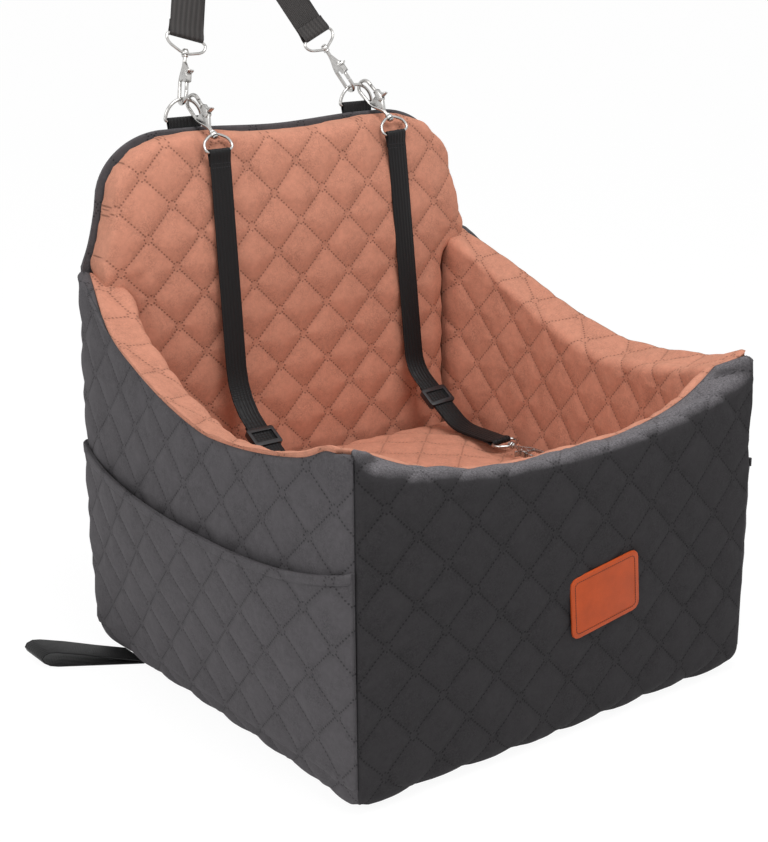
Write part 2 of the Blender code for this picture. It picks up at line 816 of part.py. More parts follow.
def seat_cushion(finish, group):
    inner = [(2 * step - 1) * CUSHION_INNER_SHARE for step in steps(CUSHION_ROWS)]
    rings = [cushion_ring(v, station) for station, v in enumerate([-1] + inner + [1])]
    return loft("seat_cushion", rings, finish, group, CUSHION_COLUMNS)


# Pockets and patch

def pocket_top(share):
    """Height of a pocket's elastic edge, which sags between the two corners."""
    power = POCKET_REAR_POWER_SHARE if share > 0 else POCKET_FRONT_POWER_SHARE
    return POCKET_CORNER_HEIGHT - POCKET_SAG * (1 - abs(share) ** power)


def pocket_inset(share, height):
    """How far out a pocket stands from its wall: sewn at the foot and ends, slack on top."""
    rise = max(height - BASE_ROUND, 0) / (pocket_top(share) - BASE_ROUND)
    slack = POCKET_SLACK * swell_share(share) * rise ** POCKET_SLACK_POWER_SHARE
    return -CLEARANCE - slack


def pocket_section(share):
    top = pocket_top(share) - BINDING_PROUD - CLEARANCE
    heights = [BASE_ROUND] + [z for _, z in rows(0)] + [top]
    inner = [(pocket_inset(share, z), z) for z in heights]
    outer = [(inset - POCKET_CLOTH, z) for inset, z in inner]
    return inner + outer[::-1]


def binding_section(share):
    """A strip folded over a pocket's edge, open to the inside."""
    top = pocket_top(share)
    low = top - BINDING_HEIGHT
    inner = pocket_inset(share, top)
    cloth = inner - POCKET_CLOTH - CLEARANCE
    outer = cloth - BINDING_PROUD
    return [(inner, top - BINDING_PROUD), (inner, top), (outer, top), (outer, low),
            (cloth, low), (cloth, top - BINDING_PROUD)]


def pockets(finishes, group):
    for side, wall in SIDES.items():
        cloth = wall.rings(pocket_section)
        binding = wall.rings(binding_section)
        loft(f"{side}_pocket", cloth, finishes["grey_velvet"], group)
        loft(f"{side}_pocket_binding", binding, finishes["grey_velvet"], group)


def leather_patch(finish, group):
    """A bare patch that lies along the front wall's swell."""
    share = PATCH_X / (WIDTH / 2)
    low = FRONT.point(share, 0, PATCH_Z - PATCH_HEIGHT / 2)
    high = FRONT.point(share, 0, PATCH_Z + PATCH_HEIGHT / 2)
    across = Vector((1, 0, 0))
    outward = across.cross(high - low).normalized()
    frame = axes((low + high) / 2, outward, across) @ Matrix.Rotation(PATCH_TURN, 4, "Z")
    stand = FRONT.point(share, 0, PATCH_Z) - (low + high) / 2
    off = max(stand.dot(outward), 0) + PATCH_STANDOFF + PATCH_THICKNESS / 2
    frame = frame @ Matrix.Translation((0, 0, off))
    outline = rounded_outline(PATCH_WIDTH, PATCH_HEIGHT, PATCH_CORNER)
    return plate("leather_patch", outline, PATCH_THICKNESS, finish, group, frame)


# Rings on the backrest

RING_WRAP = RING_WIRE + CLEARANCE + WEBBING / 2
RING_Y = DEPTH / 2 + CLEARANCE + WEBBING / 2 + RING_WRAP
RING_Z = BACK_HEIGHT + RING_STAND
HEAD_STRAP_APEX = Vector((HEAD_APEX_X, RING_Y + HEAD_APEX_BACK, RING_Z + HEAD_APEX_RISE))
RING_SIDES = {"left": -1, "right": 1}


def ring_place(side):
    return Vector((RING_SIDES[side] * RING_X, RING_Y, RING_Z))


def ring_contact(side, slip):
    """Where a hook pulls on a ring, at an angle from the top of its bow."""
    return ring_place(side) + Vector((math.sin(slip), 0, math.cos(slip))) * RING_RADIUS


def d_ring(side, finish, group):
    """A wire D whose straight bar lies in the tab."""
    inner = RING_RADIUS - RING_CORNER
    corner = arc((inner, RING_CORNER), RING_CORNER, -math.pi / 2, 0, 2)
    start = math.asin(RING_CORNER / RING_RADIUS)
    bow = arc((0, 0), RING_RADIUS, start, math.pi - start, 14)[1:-1]
    outline = corner + bow + [(-x, z) for x, z in corner[::-1]]
    points = [(x, 0, z) for x, z in outline]
    frame = Matrix.Translation(ring_place(side))
    return rod(f"{side}_d_ring", points, RING_WIRE, finish, group, frame, cyclic=True)


def ring_tab(side, finish, group):
    """Webbing folded over a ring's bar and sewn to the back of the backrest."""
    bar = ring_place(side)
    across = Vector((1, 0, 0))
    foot_z = -TAB_LENGTH
    front = [(bar + Vector((0, -RING_WRAP, z)), across) for z in (foot_z, -TAB_CLOSE)]
    fold = turn_round(bar, -REARWARD, UP, RING_WRAP, across)
    near = -RING_WRAP + WEBBING + LAYER_GAP
    rear = [(bar + Vector((0, (RING_WRAP + near) / 2, -TAB_CLOSE / 2)), across),
            (bar + Vector((0, near, -TAB_CLOSE)), across),
            (bar + Vector((0, near, foot_z)), across)]
    return ribbon(f"{side}_ring_tab", front + fold + rear, TAB_WIDTH, finish, group)


# Swivel snap hooks, in their own axes: the swivel axis is Z, and the gate is towards -X

def lug_outline():
    """The flat part of a hook's body that carries the gate."""
    edge = -PIVOT_OUT - LUG_MARGIN
    spine = EYE_RADIUS + HOOK_ROD
    return [(STEM_RADIUS, -LUG_TOP), (-STEM_RADIUS, -LUG_TOP),
            (edge, -PIVOT_DROP + LUG_MARGIN), (edge, -PIVOT_DROP),
            (-PIVOT_OUT + PIVOT_RADIUS, -LUG_END), (spine, -LUG_END),
            (spine, -SHANK_LENGTH - NECK_LENGTH), (HOOK_ROD, -SHANK_LENGTH)]


def ear_span():
    return LUG_THICKNESS + 2 * (EAR_GAP + EAR_PLATE)


def hook_mesh(finish, cutters):
    """A hook's body: head, stem, lug with its pivot pin, and the open bow."""
    spine = EYE_RADIUS + HOOK_ROD
    eye = WIRE_SEAT - HOOK_REACH
    top = -CLEARANCE - FLANGE_HEIGHT / 2
    neck = -SHANK_LENGTH - NECK_LENGTH
    line = [(0, top), (0, -SHANK_LENGTH), (spine * NECK_SHARE, (neck - SHANK_LENGTH) / 2)]
    line += [(spine, neck), (spine, (neck + eye) / 2)]
    line += arc((0, eye), spine, 0, -math.pi, 8) + [(-spine, eye + TIP_RISE)]
    body = rod("hook_body", [(x, 0, z) for x, z in line], HOOK_ROD, finish, cutters)
    lug = plate("hook_lug", lug_outline(), LUG_THICKNESS, finish, cutters, ON_EDGE)
    pivot = Matrix.Translation((-PIVOT_OUT, 0, -PIVOT_DROP)) @ ON_EDGE
    pin = disc("hook_pin", PIVOT_RADIUS, ear_span(), finish, cutters, pivot)
    head_z = COLLAR_HEIGHT + CLEARANCE + HEAD_HEIGHT / 2
    stem_middle = Matrix.Translation((0, 0, (top + head_z) / 2))
    stem = disc("hook_stem", STEM_RADIUS, head_z - top, finish, cutters, stem_middle)
    head = disc("hook_head", HEAD_RADIUS, HEAD_HEIGHT, finish, cutters,
                Matrix.Translation((0, 0, head_z)))
    rim = disc("hook_rim", FLANGE_RADIUS, FLANGE_HEIGHT, finish, cutters,
               Matrix.Translation((0, 0, top)))
    for piece in (lug, pin, rim, stem, head):
        cut(body, piece, "UNION", cutters)
    return baked(body)


def gate_outline():
    """A gate's ears, the web on its outer side and the thumb tab, about the pivot."""
    web = -LUG_MARGIN - EAR_GAP - GATE_WEB
    outline = arc((0, 0), EAR_RADIUS, 0, math.pi, 6)
    outline += [(web, -THUMB_HEIGHT / 3), (web - THUMB_REACH, THUMB_HEIGHT / 3)]
    outline += [(web - THUMB_REACH, -THUMB_HEIGHT / 3), (web, -THUMB_HEIGHT)]
    return outline + [(web, -EAR_LENGTH - GATE_BRIDGE), (GATE_INSET, -EAR_LENGTH - GATE_BRIDGE)]


def gate_mesh(finish, cutters):
    """A gate whose two ears straddle the lug and whose arm closes on the hook's tip."""
    span = ear_span()
    body = plate("gate_body", gate_outline(), span, finish, cutters, ON_EDGE)
    slot_low = (-LUG_MARGIN - EAR_GAP, -LUG_THICKNESS / 2 - EAR_GAP, -EAR_LENGTH)
    slot_high = (2 * EAR_RADIUS, LUG_THICKNESS / 2 + EAR_GAP, 2 * EAR_RADIUS)
    slot = block("gate_slot", slot_low, slot_high, finish, cutters)
    hole = disc("gate_hole", PIVOT_RADIUS + CLEARANCE, 2 * span, finish, cutters, ON_EDGE)
    eye = WIRE_SEAT - HOOK_REACH
    tip = eye + TIP_RISE + CLEARANCE + PIVOT_DROP
    arm_low = (GATE_INSET - GATE_WIDTH, -GATE_WIDTH / 2, tip)
    arm_high = (GATE_INSET - CLEARANCE, GATE_WIDTH / 2, -EAR_LENGTH - GATE_BRIDGE / 2)
    arm = block("gate_arm", arm_low, arm_high, finish, cutters)
    cut(body, slot, "DIFFERENCE", cutters)
    cut(body, hole, "DIFFERENCE", cutters)
    cut(body, arm, "UNION", cutters)
    return baked(body)


def bail(name, hook, toward, across, width, finish, group, cutters):
    """A wire bail on a hook's collar: the webbing goes round its bar."""
    half = width / 2 + BAIL_PLAY + BAIL_WIRE
    centre = hook @ Vector((0, 0, COLLAR_HEIGHT / 2))
    corner = arc((half - BAIL_CORNER, BAIL_RISE - BAIL_CORNER), BAIL_CORNER, 0, math.pi / 2, 2)
    outline = [(BAIL_NECK, 0), (half, BAIL_SHOULDER)] + corner
    outline += [(-x, z) for x, z in outline[::-1]]
    frame = axes(centre, toward, across)
    wire = rod(name, [(x, 0, z) for x, z in outline], BAIL_WIRE, finish, group, frame, True)
    seat = hook @ Matrix.Translation((0, 0, COLLAR_HEIGHT / 2))
    collar = disc(f"{name}_collar", COLLAR_RADIUS, COLLAR_HEIGHT, finish, cutters, seat)
    bore = disc(f"{name}_bore", STEM_RADIUS + CLEARANCE, 3 * COLLAR_HEIGHT, finish, cutters,
                seat)
    cut(wire, collar, "UNION", cutters)
    cut(wire, bore, "DIFFERENCE", cutters)
    return frame @ Vector((0, 0, BAIL_RISE))


# Webbing

BAIL_WRAP = BAIL_WIRE + CLEARANCE + WEBBING / 2
LAYER = (WEBBING + LAYER_GAP) / 2


def spread(distance):
    """How far a layer lies from the middle of the webbing, wider where it nears a bar."""
    return BAIL_WRAP + (LAYER - BAIL_WRAP) * smooth_share(distance / FLARE)


class HeadLeg:
    """One leg of the strap over the rings: its contact, its hook and its way to the top."""

    def __init__(self, side, slip, front):
        contact = ring_contact(side, slip)
        away = HEAD_STRAP_APEX - contact
        turn = front * math.asin(HEAD_BAR_RADIUS / math.hypot(away.y, away.z))
        angle = math.atan2(away.z, away.y) + turn
        self.normal = Vector((0, -math.sin(angle), math.cos(angle))) * front
        shift = Vector((-front * HEAD_BAR_SHIFT, 0, 0))
        self.top = HEAD_STRAP_APEX + shift + self.normal * HEAD_BAR_RADIUS
        self.way = (self.top - contact).normalized()
        self.across = self.normal.cross(self.way).normalized() * front
        tangent = Vector((math.cos(slip), 0, -math.sin(slip)))
        self.hook = axes(contact + self.way * HOOK_REACH, self.way, self.way.cross(tangent))

    def layer(self, bar, distances, side):
        """Places up the leg from its bail's bar, on the outer or the inner side."""
        return [(bar + self.way * d + self.normal * side * spread(d), self.across)
                for d in distances]


def head_strap(legs, bars, finish, group):
    """One strap, sewn round both bails, that lies over a bar above the seat."""
    left, right = legs["left"], legs["right"]
    near = [FLARE / 3, FLARE * 2 / 3, FLARE]
    path = left.layer(bars["left"], [SEWN_LAP] + near[::-1], -1)
    path += turn_round(bars["left"], -left.normal, -left.way, BAIL_WRAP, left.across)
    path += left.layer(bars["left"], near, 1)
    start = math.atan2(left.normal.z, left.normal.y)
    end = math.atan2(right.normal.z, right.normal.y)
    radius = HEAD_BAR_RADIUS + LAYER
    advance = 2 * HEAD_BAR_SHIFT / (start - end)
    for step in steps(2 * TURN_STEPS):
        angle = start + (end - start) * step
        normal = Vector((0, math.cos(angle), math.sin(angle)))
        heading = Vector((advance, radius * math.sin(angle), -radius * math.cos(angle)))
        shift = Vector((HEAD_BAR_SHIFT * (2 * step - 1), 0, 0))
        across = normal.cross(heading).normalized()
        path.append((HEAD_STRAP_APEX + shift + normal * radius, across))
    path += right.layer(bars["right"], near[::-1], 1)
    path += turn_round(bars["right"], right.normal, -right.way, BAIL_WRAP, right.across)
    path += right.layer(bars["right"], near + [SEWN_LAP], -1)
    return ribbon("headrest_strap", path, HEAD_WEBBING_WIDTH, finish, group)


class Tether:
    """A strap from a hook on a ring, down the backrest and forward over the cushion."""

    def __init__(self, side):
        self.side = side
        self.spec = TETHERS[side]
        roll = self.spec["roll"]
        self.down = Vector((math.sin(roll), 0, -math.cos(roll)))
        self.forward = -REARWARD
        self.across = self.forward.cross(self.down)
        contact = ring_contact(side, TETHER_SLIP)
        toward = (ring_place(side) + self.spec["aim"] - contact).normalized()
        tangent = Vector((math.cos(TETHER_SLIP), 0, -math.sin(TETHER_SLIP)))
        lateral = tangent.cross(toward)
        if lateral.z > 0:
            lateral = -lateral
        lateral = Matrix.Rotation(TETHER_HOOK_TURN, 3, toward) @ lateral
        reach = HOOK_REACH - self.spec["play"]
        self.upper_hook = axes(contact + toward * reach, toward, lateral)
        self.bail_way = self.heading(BAIL_LEAN)
        self.start = self.upper_hook @ Vector((0, 0, COLLAR_HEIGHT / 2))
        self.start += self.bail_way * BAIL_RISE
        self.legs = self.measured_legs()
        self.length = sum(leg[0] for leg in self.legs)
        end = self.at(self.length)
        lower = end[0] + end[1] * (BAIL_RISE + COLLAR_HEIGHT / 2)
        self.lower_hook = axes(lower, -end[1], self.across)

    def heading(self, angle):
        return self.down * math.cos(angle) + self.forward * math.sin(angle)

    def measured_legs(self):
        """Runs of the strap as length, first angle and last angle from straight down. The
        first run is as long as brings the strap down to lie on the cushion."""
        spec = self.spec
        lean, slope, level = spec["lean"], spec["slope"], math.pi / 2
        drop = (self.start.z - cushion_peak() - TETHER_LIFT) / -self.down.z
        drop -= spec["bend"] * (math.sin(slope) - math.sin(lean))
        drop -= spec["slide"] * math.cos(slope)
        drop -= LIE_RADIUS * (1 - math.sin(slope))
        return [(drop / math.cos(lean), lean, lean),
                (spec["bend"] * (slope - lean), lean, slope),
                (spec["slide"], slope, slope),
                (LIE_RADIUS * (level - slope), slope, level),
                (spec["lie"], level, level)]

    def at(self, distance):
        """Place, heading and front side of the strap's middle at a distance along it."""
        place = self.start.copy()
        for length, first, last in self.legs:
            part = min(distance, length)
            angle = first + (last - first) * part / length
            if first == last:
                place += self.heading(first) * part
            else:
                radius = length / (last - first)
                place += self.down * radius * (math.sin(angle) - math.sin(first))
                place += self.forward * radius * (math.cos(first) - math.cos(angle))
            distance -= part
            if distance <= 0:
                break
        return place, self.heading(angle), self.heading(angle + math.pi / 2)

    def layer(self, distances, side):
        """Places on the front or the rear layer."""
        path = []
        for d in distances:
            place, _, front = self.at(d)
            apart = spread(min(d, self.length - d)) * side
            path.append((place + front * apart, self.across))
        return path

    def adjuster_distance(self):
        return self.legs[0][0] + self.legs[1][0] + self.spec["adjuster"]

    def distances(self):
        """Stations along the strap: close where it bends or nears a bar."""
        near = [FLARE / 3, FLARE * 2 / 3, FLARE]
        places = near + [SEWN_LAP] + [self.length - d for d in near]
        begun = 0
        for length, first, last in self.legs:
            bends = 1 if first == last else 4
            places += [begun + length * step for step in steps(bends)]
            begun += length
        return sorted({round(d, 6) for d in places if 0 < d < self.length})

    def strap(self, finish, group):
        """One strap, sewn round the upper bail, that goes through the adjuster, round the
        lower bail and back up through the adjuster."""
        stations = self.distances()
        lap = [d for d in stations if d <= SEWN_LAP]
        tail = self.adjuster_distance() - ADJUSTER_LENGTH / 2 - TAIL
        back = [d for d in stations if d > tail]
        _, start, front = self.at(0)
        path = self.layer(lap[::-1], -1)
        path += turn_round(self.at(0)[0], -front, -start, BAIL_WRAP, self.across)
        path += self.layer(stations, 1)
        end, way, front = self.at(self.length)
        path += turn_round(end, front, way, BAIL_WRAP, self.across)
        path += self.layer(back[::-1] + [tail], -1)
        name = f"{self.side}_tether_strap"
        return ribbon(name, path, TETHER_WIDTH, finish, group)

    def adjuster(self, finish, group, cutters):
        """A slide with a bar at each end in front of the webbing and one behind it."""
        place, way, front = self.at(self.adjuster_distance())
        frame = axes(place, front, self.across)
        inner = TETHER_WIDTH / 2 + CLEARANCE
        near = LAYER + WEBBING / 2 + CLEARANCE
        far = near + ADJUSTER_PLATE
        outline = rounded_outline(ADJUSTER_WIDTH, ADJUSTER_LENGTH, ADJUSTER_CORNER, 2)
        name = f"{self.side}_tether_adjuster"
        body = plate(name, outline, 2 * far, finish, group, frame)
        window = ADJUSTER_LENGTH / 2 - ADJUSTER_BAR
        opening = block(f"{name}_window", (-inner, -window, -near), (inner, window, 2 * far),
                        finish, cutters, frame)
        way_through = block(f"{name}_way", (-inner, -ADJUSTER_LENGTH, -near),
                            (inner, ADJUSTER_LENGTH, near), finish, cutters, frame)
        cut(body, opening, "DIFFERENCE", cutters)
        cut(body, way_through, "DIFFERENCE", cutters)
        for end in (-1, 1):
            ends = sorted((end * ADJUSTER_BAR / 2, end * ADJUSTER_LENGTH))
            notch = block(f"{name}_notch", (-inner, ends[0], -2 * far), (inner, ends[1], near),
                          finish, cutters, frame)
            cut(body, notch, "DIFFERENCE", cutters)
        return body


def rear_loop(finish, group):
    """A loop of webbing that is sewn under the left bottom edge and lies on the floor."""
    across = REARWARD
    low = LOOP_FLOOR + WEBBING / 2

    def place(share, height):
        x = -WIDTH / 2 + LOOP_TUCK - LOOP_LENGTH * share
        return Vector((x, LOOP_Y + LOOP_DRIFT * share, height)), across

    path = [place(share, low) for share in LOOP_SHARES]
    middle = low + LOOP_RISE / 2
    for step in steps(TURN_STEPS)[1:-1]:
        angle = math.pi * step
        out = LOOP_SHARES[-1] + (1 - LOOP_SHARES[-1]) * math.sin(angle)
        path.append(place(out, middle - LOOP_RISE / 2 * math.cos(angle)))
    upper = [low + LOOP_RISE * rise for rise in LOOP_RISE_SHARES]
    path += [place(share, z) for share, z in zip(LOOP_SHARES[::-1], upper[::-1])]
    return ribbon("rear_anchor_loop", path, LOOP_WIDTH, finish, group)


def snap_hook(name, hook, meshes, group):
    """A hook's body on its swivel axis and its gate on the pivot."""
    placed(meshes["hook"], f"{name}_hook", group, hook)
    pivot = hook @ Matrix.Translation((-PIVOT_OUT, 0, -PIVOT_DROP))
    placed(meshes["gate"], f"{name}_gate", group, pivot)


def main():
    clear_scene()
    group = new_collection("dog_car_seat")
    cutters = new_collection("cutters")
    finishes = seat_finishes()
    nickel = finishes["nickel"]
    walls(finishes, group)
    back_panel(finishes["grey_velvet"], group)
    back_foam(finishes["foam"], group)
    bottom_panel(finishes["base_cloth"], group)
    booster_foam(finishes["foam"], group)
    seat_cushion(finishes["terracotta_velvet"], group)
    pockets(finishes, group)
    leather_patch(finishes["leather"], group)
    tethers = {side: Tether(side) for side in RING_SIDES}
    upper_hooks = {side: tether.upper_hook for side, tether in tethers.items()}
    backrest_pad(upper_hooks, finishes["terracotta_velvet"], group, cutters)
    meshes = {"hook": hook_mesh(nickel, cutters), "gate": gate_mesh(nickel, cutters)}
    legs = {"left": HeadLeg("left", LEFT_HEAD_SLIP, 1),
            "right": HeadLeg("right", RIGHT_HEAD_SLIP, -1)}
    bars = {}
    for side, tether in tethers.items():
        ring_tab(side, finishes["webbing"], group)
        d_ring(side, nickel, group)
        leg = legs[side]
        snap_hook(f"{side}_head", leg.hook, meshes, group)
        bars[side] = bail(f"{side}_head_bail", leg.hook, leg.way, leg.across,
                          HEAD_WEBBING_WIDTH, nickel, group, cutters)
        snap_hook(f"{side}_upper", tether.upper_hook, meshes, group)
        bail(f"{side}_upper_bail", tether.upper_hook, tether.bail_way, tether.across,
             TETHER_WIDTH, nickel, group, cutters)
        snap_hook(f"{side}_lower", tether.lower_hook, meshes, group)
        lower_way = tether.lower_hook.col[2].xyz
        bail(f"{side}_lower_bail", tether.lower_hook, lower_way, tether.across,
             TETHER_WIDTH, nickel, group, cutters)
        tether.strap(finishes["webbing"], group)
        tether.adjuster(finishes["black_plastic"], group, cutters)
    head_strap(legs, bars, finishes["head_webbing"], group)
    rear_loop(finishes["webbing"], group)


main()
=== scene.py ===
"""The looks of a dog car seat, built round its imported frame."""

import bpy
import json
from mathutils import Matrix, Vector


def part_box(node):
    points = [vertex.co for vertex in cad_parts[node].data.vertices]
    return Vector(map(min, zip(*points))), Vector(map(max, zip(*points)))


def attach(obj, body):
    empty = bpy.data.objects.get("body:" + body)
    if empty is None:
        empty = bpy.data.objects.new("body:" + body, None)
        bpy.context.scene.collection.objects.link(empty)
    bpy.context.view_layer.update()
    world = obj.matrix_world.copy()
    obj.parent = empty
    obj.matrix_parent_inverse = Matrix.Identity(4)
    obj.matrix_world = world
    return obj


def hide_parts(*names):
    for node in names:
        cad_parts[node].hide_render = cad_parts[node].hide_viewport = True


bl_info = {
    "name": "Dog Car Seat",
    "version": (1, 0, 0),
    "blender": (4, 5, 0),
    "location": "3D View > Sidebar > Car Seat",
    "description": "Builds the quilted covers, cushions, webbing and hardware of a dog car seat",
    "category": "Object",
}

import json
import math

import bmesh
import bpy
import numpy as np
from bpy.props import FloatProperty, FloatVectorProperty, IntProperty, PointerProperty
from mathutils import Matrix, Quaternion, Vector, noise
from mathutils.bvhtree import BVHTree

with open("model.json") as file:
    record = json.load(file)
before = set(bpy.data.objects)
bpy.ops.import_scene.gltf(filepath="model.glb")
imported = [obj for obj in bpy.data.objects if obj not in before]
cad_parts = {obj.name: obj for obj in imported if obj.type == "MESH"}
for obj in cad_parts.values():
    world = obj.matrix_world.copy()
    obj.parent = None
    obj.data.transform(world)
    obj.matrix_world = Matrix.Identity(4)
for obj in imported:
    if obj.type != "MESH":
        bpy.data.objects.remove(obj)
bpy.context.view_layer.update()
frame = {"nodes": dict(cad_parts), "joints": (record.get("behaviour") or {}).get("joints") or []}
JOINTS = {joint["name"]: joint for joint in frame["joints"]}
SEAT = "seat"

# Sizes of the sewn seat, within a few millimetres of its solids'
WIDTH = 0.480
DEPTH = 0.460
BACK_HEIGHT = 0.527
CORNER_HEIGHT = 0.329
SIDE_LOW_HEIGHT = 0.302
SIDE_LOW_AT = 0.40
SIDE_REAR_HEIGHT = 0.402
FRONT_LOW_HEIGHT = 0.2775
WALL = 0.038
BASE_ROUND = 0.026
FLANGE = 0.018
RIM_ROUND = 0.010
RIM_FALL = 0.012
CORNER_ROUND = 0.010
SIDE_BULGE = 0.020
FRONT_BULGE = 0.012
BULGE_HEIGHT = 0.200
LINING_STRIP = 0.009
LINING_FOOT = 0.104
SHOULDER_HALF = 0.216
SHOULDER_RISE = 0.060
TOP_CORNER = 0.080
TOP_CORNER_DROP = 0.065
TOP_DIP = 0.004
RING_X = 0.108
POCKET_CORNER_HEIGHT = 0.2235
POCKET_SAG = 0.0178
POCKET_SLACK = 0.009
POCKET_CLEAR = 0.0006
HEM_DEPTH = 0.014
HEM_PROUD = 0.0012
HEM_RISE = 0.0005
HEM_STEP = 0.0016
HEM_RIPPLES = 40.0

# How the cloth folds over the rims and corners
FRONT_CREST_RISE = 0.0032
FRONT_END_RISE = 0.033
FRONT_END_POWER = 2.2
CREST_EAR_AT = 0.93
CREST_EAR_REACH = 0.07
HUMP = 0.0062
HUMP_AT = 0.028
HUMP_WIDTH = 0.016
CORNER_SINK = 0.0022
EAR_SHARE = 0.91
EAR_INSET = 0.024
REAR_EAR_SHARE = 0.50
REAR_EAR_INSET = 0.010
COVER_EDGE_DROP = 0.0036
COVER_FOLD_DROP = 0.0035
COVER_EAR_DROP = 0.0008
LINING_TUCK = 0.012
FOAM_CORNER = 0.0055
FOAM_SINK = 0.0090
FOAM_SINK_REACH = 0.045

# The cloth, its seams, folds and quilting
CLOTH = 0.0022
GAP = 0.0002
EDGE_PINCH = 0.0030
SEAM_WIDTH = 0.009
QUILT_SHOULDER = 0.016
QUILT_CHANNEL = 0.0026
FLOWER = 0.0046
FLOWER_CLEAR = 0.0072
PETALS = 8
DOTS = 11
LONG_FOLDS = 11.0
SHORT_FOLDS = 27.0
CRUMPLES = 75.0
HANGING_FOLDS = 62.0
FOLD_CLOUDS = 7.0
PILE_FINE = 620.0
PILE_BRUSHED = 190.0
PILE_CLOUDS = 38.0
FINE_SPAN = (0.32, 0.68)
CLOUD_SPAN = (0.35, 0.65)
WEFTS = 900
TWILLS = 420

# How the cushions swell, and give way round the hooks
CUSHION_VOXEL = 0.005
SWELL_FRAMES = 20
SWELL_PRESSURE = 4.0
SWELL_STIFFNESS = 20.0
HOOK_REACH = 0.046
BAIL_REACH = 0.022
HOOK_PRESS = 0.0012
SWELL_CLEAR = 0.012
SWELL_FADE = 0.03
PRESS_CLEAR = 0.010
PRESS_FADE = 0.02
CUSHION_SINK = 0.0012

# The patch, the webbing and their seams
MERGE_REACH = 0.00001
SHARP = math.radians(40)
EDGE_ANGLE = 1.0
THIN_EDGE = 0.0004
DROP_RISE = 0.1
DROP_REACH = 0.3
PATCH_TURN = math.radians(5.5)
PATCH_EDGE = 0.0006
PATCH_SEAM = 0.0048
PATCH_SEAM_CORNER = 0.0045
TETHER_LINES = {"left": (-0.0950, 0.0), "right": (0.1282, math.radians(3.2))}
TETHER_MIDDLE = 0.5
TETHER_ROWS = (0.4945, 0.4905)
TETHER_SEAM_HALF = 0.0095
SEAM_FRONT_Y = 0.19
SEAM_REAR_Y = 0.3
TAB_SEAM = 0.004
TAB_SEAM_TOP = 0.022
THREAD_LIFT = 0.0001
STRAP_LEGS = ((-0.94, 0.11, 0.31), (-0.90, -0.18, -0.39))
STRAP_LEGS_MEET = -0.020
LOOP_LEAN = 0.65

# Sizes of the snap hooks, from the swivel collar's lower face
HOOK_ROD = 0.0020
EYE_RADIUS = 0.0055
WIRE_SEAT = 0.0027
TIP_RISE = 0.0040
SHANK = 0.0100
NECK = 0.0130
PIVOT_OUT = 0.0065
PIVOT_DROP = 0.0205
COLLAR_HEIGHT = 0.0040
LUG = 0.0036
GATE_PLATE = 0.0010
GATE_PLAY = 0.0005
BAIL_ROD = 0.0015
BAIL_END = 0.0022

# Sizes of the D-rings
RING_ARC = 0.021
RING_ARC_END = 0.13
RING_CORNER = 0.0025
RING_CORNER_X = 0.0185
RING_ROD = 0.00175

# The stage, as the photo shows it
CAMERA_PLACE = (-0.978, -1.243, 0.738)
CAMERA_TURN = math.radians(37.21)
CAMERA_DIP = math.radians(17.07)
CAMERA_ROLL = math.radians(-0.36)
SENSOR_WIDTH = 36.0
LAMPS = (("key", (-2.4, -0.4, 1.9), 1.6),
         ("fill", (1.7, -1.9, 1.5), 1.6),
         ("top", (-0.10, -0.60, 1.7), 0.9))
LAMP_AIM = (0, 0, 0.25)
WHITE = (1, 1, 1, 1)
FLOOR_REACH = 60.0
FLOOR_DROP = 0.0005
FLOOR_COLOUR = (0.94, 0.94, 0.94, 1)
FLOOR_ROUGHNESS = 0.9
FLOOR_GLOW = 0.88
GLOW_STRENGTH = 1.06


def lerp(low, high, share):
    return low + (high - low) * share


def smooth(share):
    share = np.clip(share, 0.0, 1.0)
    return share * share * (3 - 2 * share)


def swell(share):
    return 1 - np.abs(share) ** 3


# Settings

class ClothSettings(bpy.types.PropertyGroup):
    """Colours and quilting of the covers and cushions."""

    grey: FloatVectorProperty(
        name="Outer cloth", description="Colour of the outer covers", subtype="COLOR",
        size=3, default=(0.083, 0.078, 0.083))
    terracotta: FloatVectorProperty(
        name="Inner cloth", description="Colour of the linings and cushions", subtype="COLOR",
        size=3, default=(0.525, 0.232, 0.156))
    diamond_width: FloatProperty(
        name="Diamond width", description="Width of one quilted diamond", default=0.060,
        unit="LENGTH")
    diamond_height: FloatProperty(
        name="Diamond height", description="Height of one quilted diamond", default=0.061,
        unit="LENGTH")
    puff: FloatProperty(
        name="Puff", description="How far a diamond stands up", default=0.0015,
        unit="LENGTH")
    channel: FloatProperty(
        name="Channel", description="Depth of a quilted line", default=0.0007, unit="LENGTH")
    wrinkle: FloatProperty(
        name="Wrinkle", description="Height of the loose cloth's folds", default=0.0022,
        unit="LENGTH")
    grid: FloatProperty(
        name="Grid", description="Spacing of the cloth's points", default=0.0028,
        unit="LENGTH")


class WebbingSettings(bpy.types.PropertyGroup):
    """Colours and stitches of the webbing."""

    black: FloatVectorProperty(
        name="Tether webbing", description="Colour of the tethers", subtype="COLOR",
        size=3, default=(0.0034, 0.0032, 0.0037))
    ribbed: FloatVectorProperty(
        name="Upper webbing", description="Colour of the strap over the headrest",
        subtype="COLOR", size=3, default=(0.030, 0.027, 0.026))
    stitch_pitch: FloatProperty(
        name="Stitch pitch", description="Distance from stitch to stitch", default=0.0034,
        unit="LENGTH")
    stitch_length: FloatProperty(
        name="Stitch length", description="Length of one stitch", default=0.0024,
        unit="LENGTH")
    stitch_radius: FloatProperty(
        name="Thread", description="Radius of the thread", default=0.00035, unit="LENGTH")


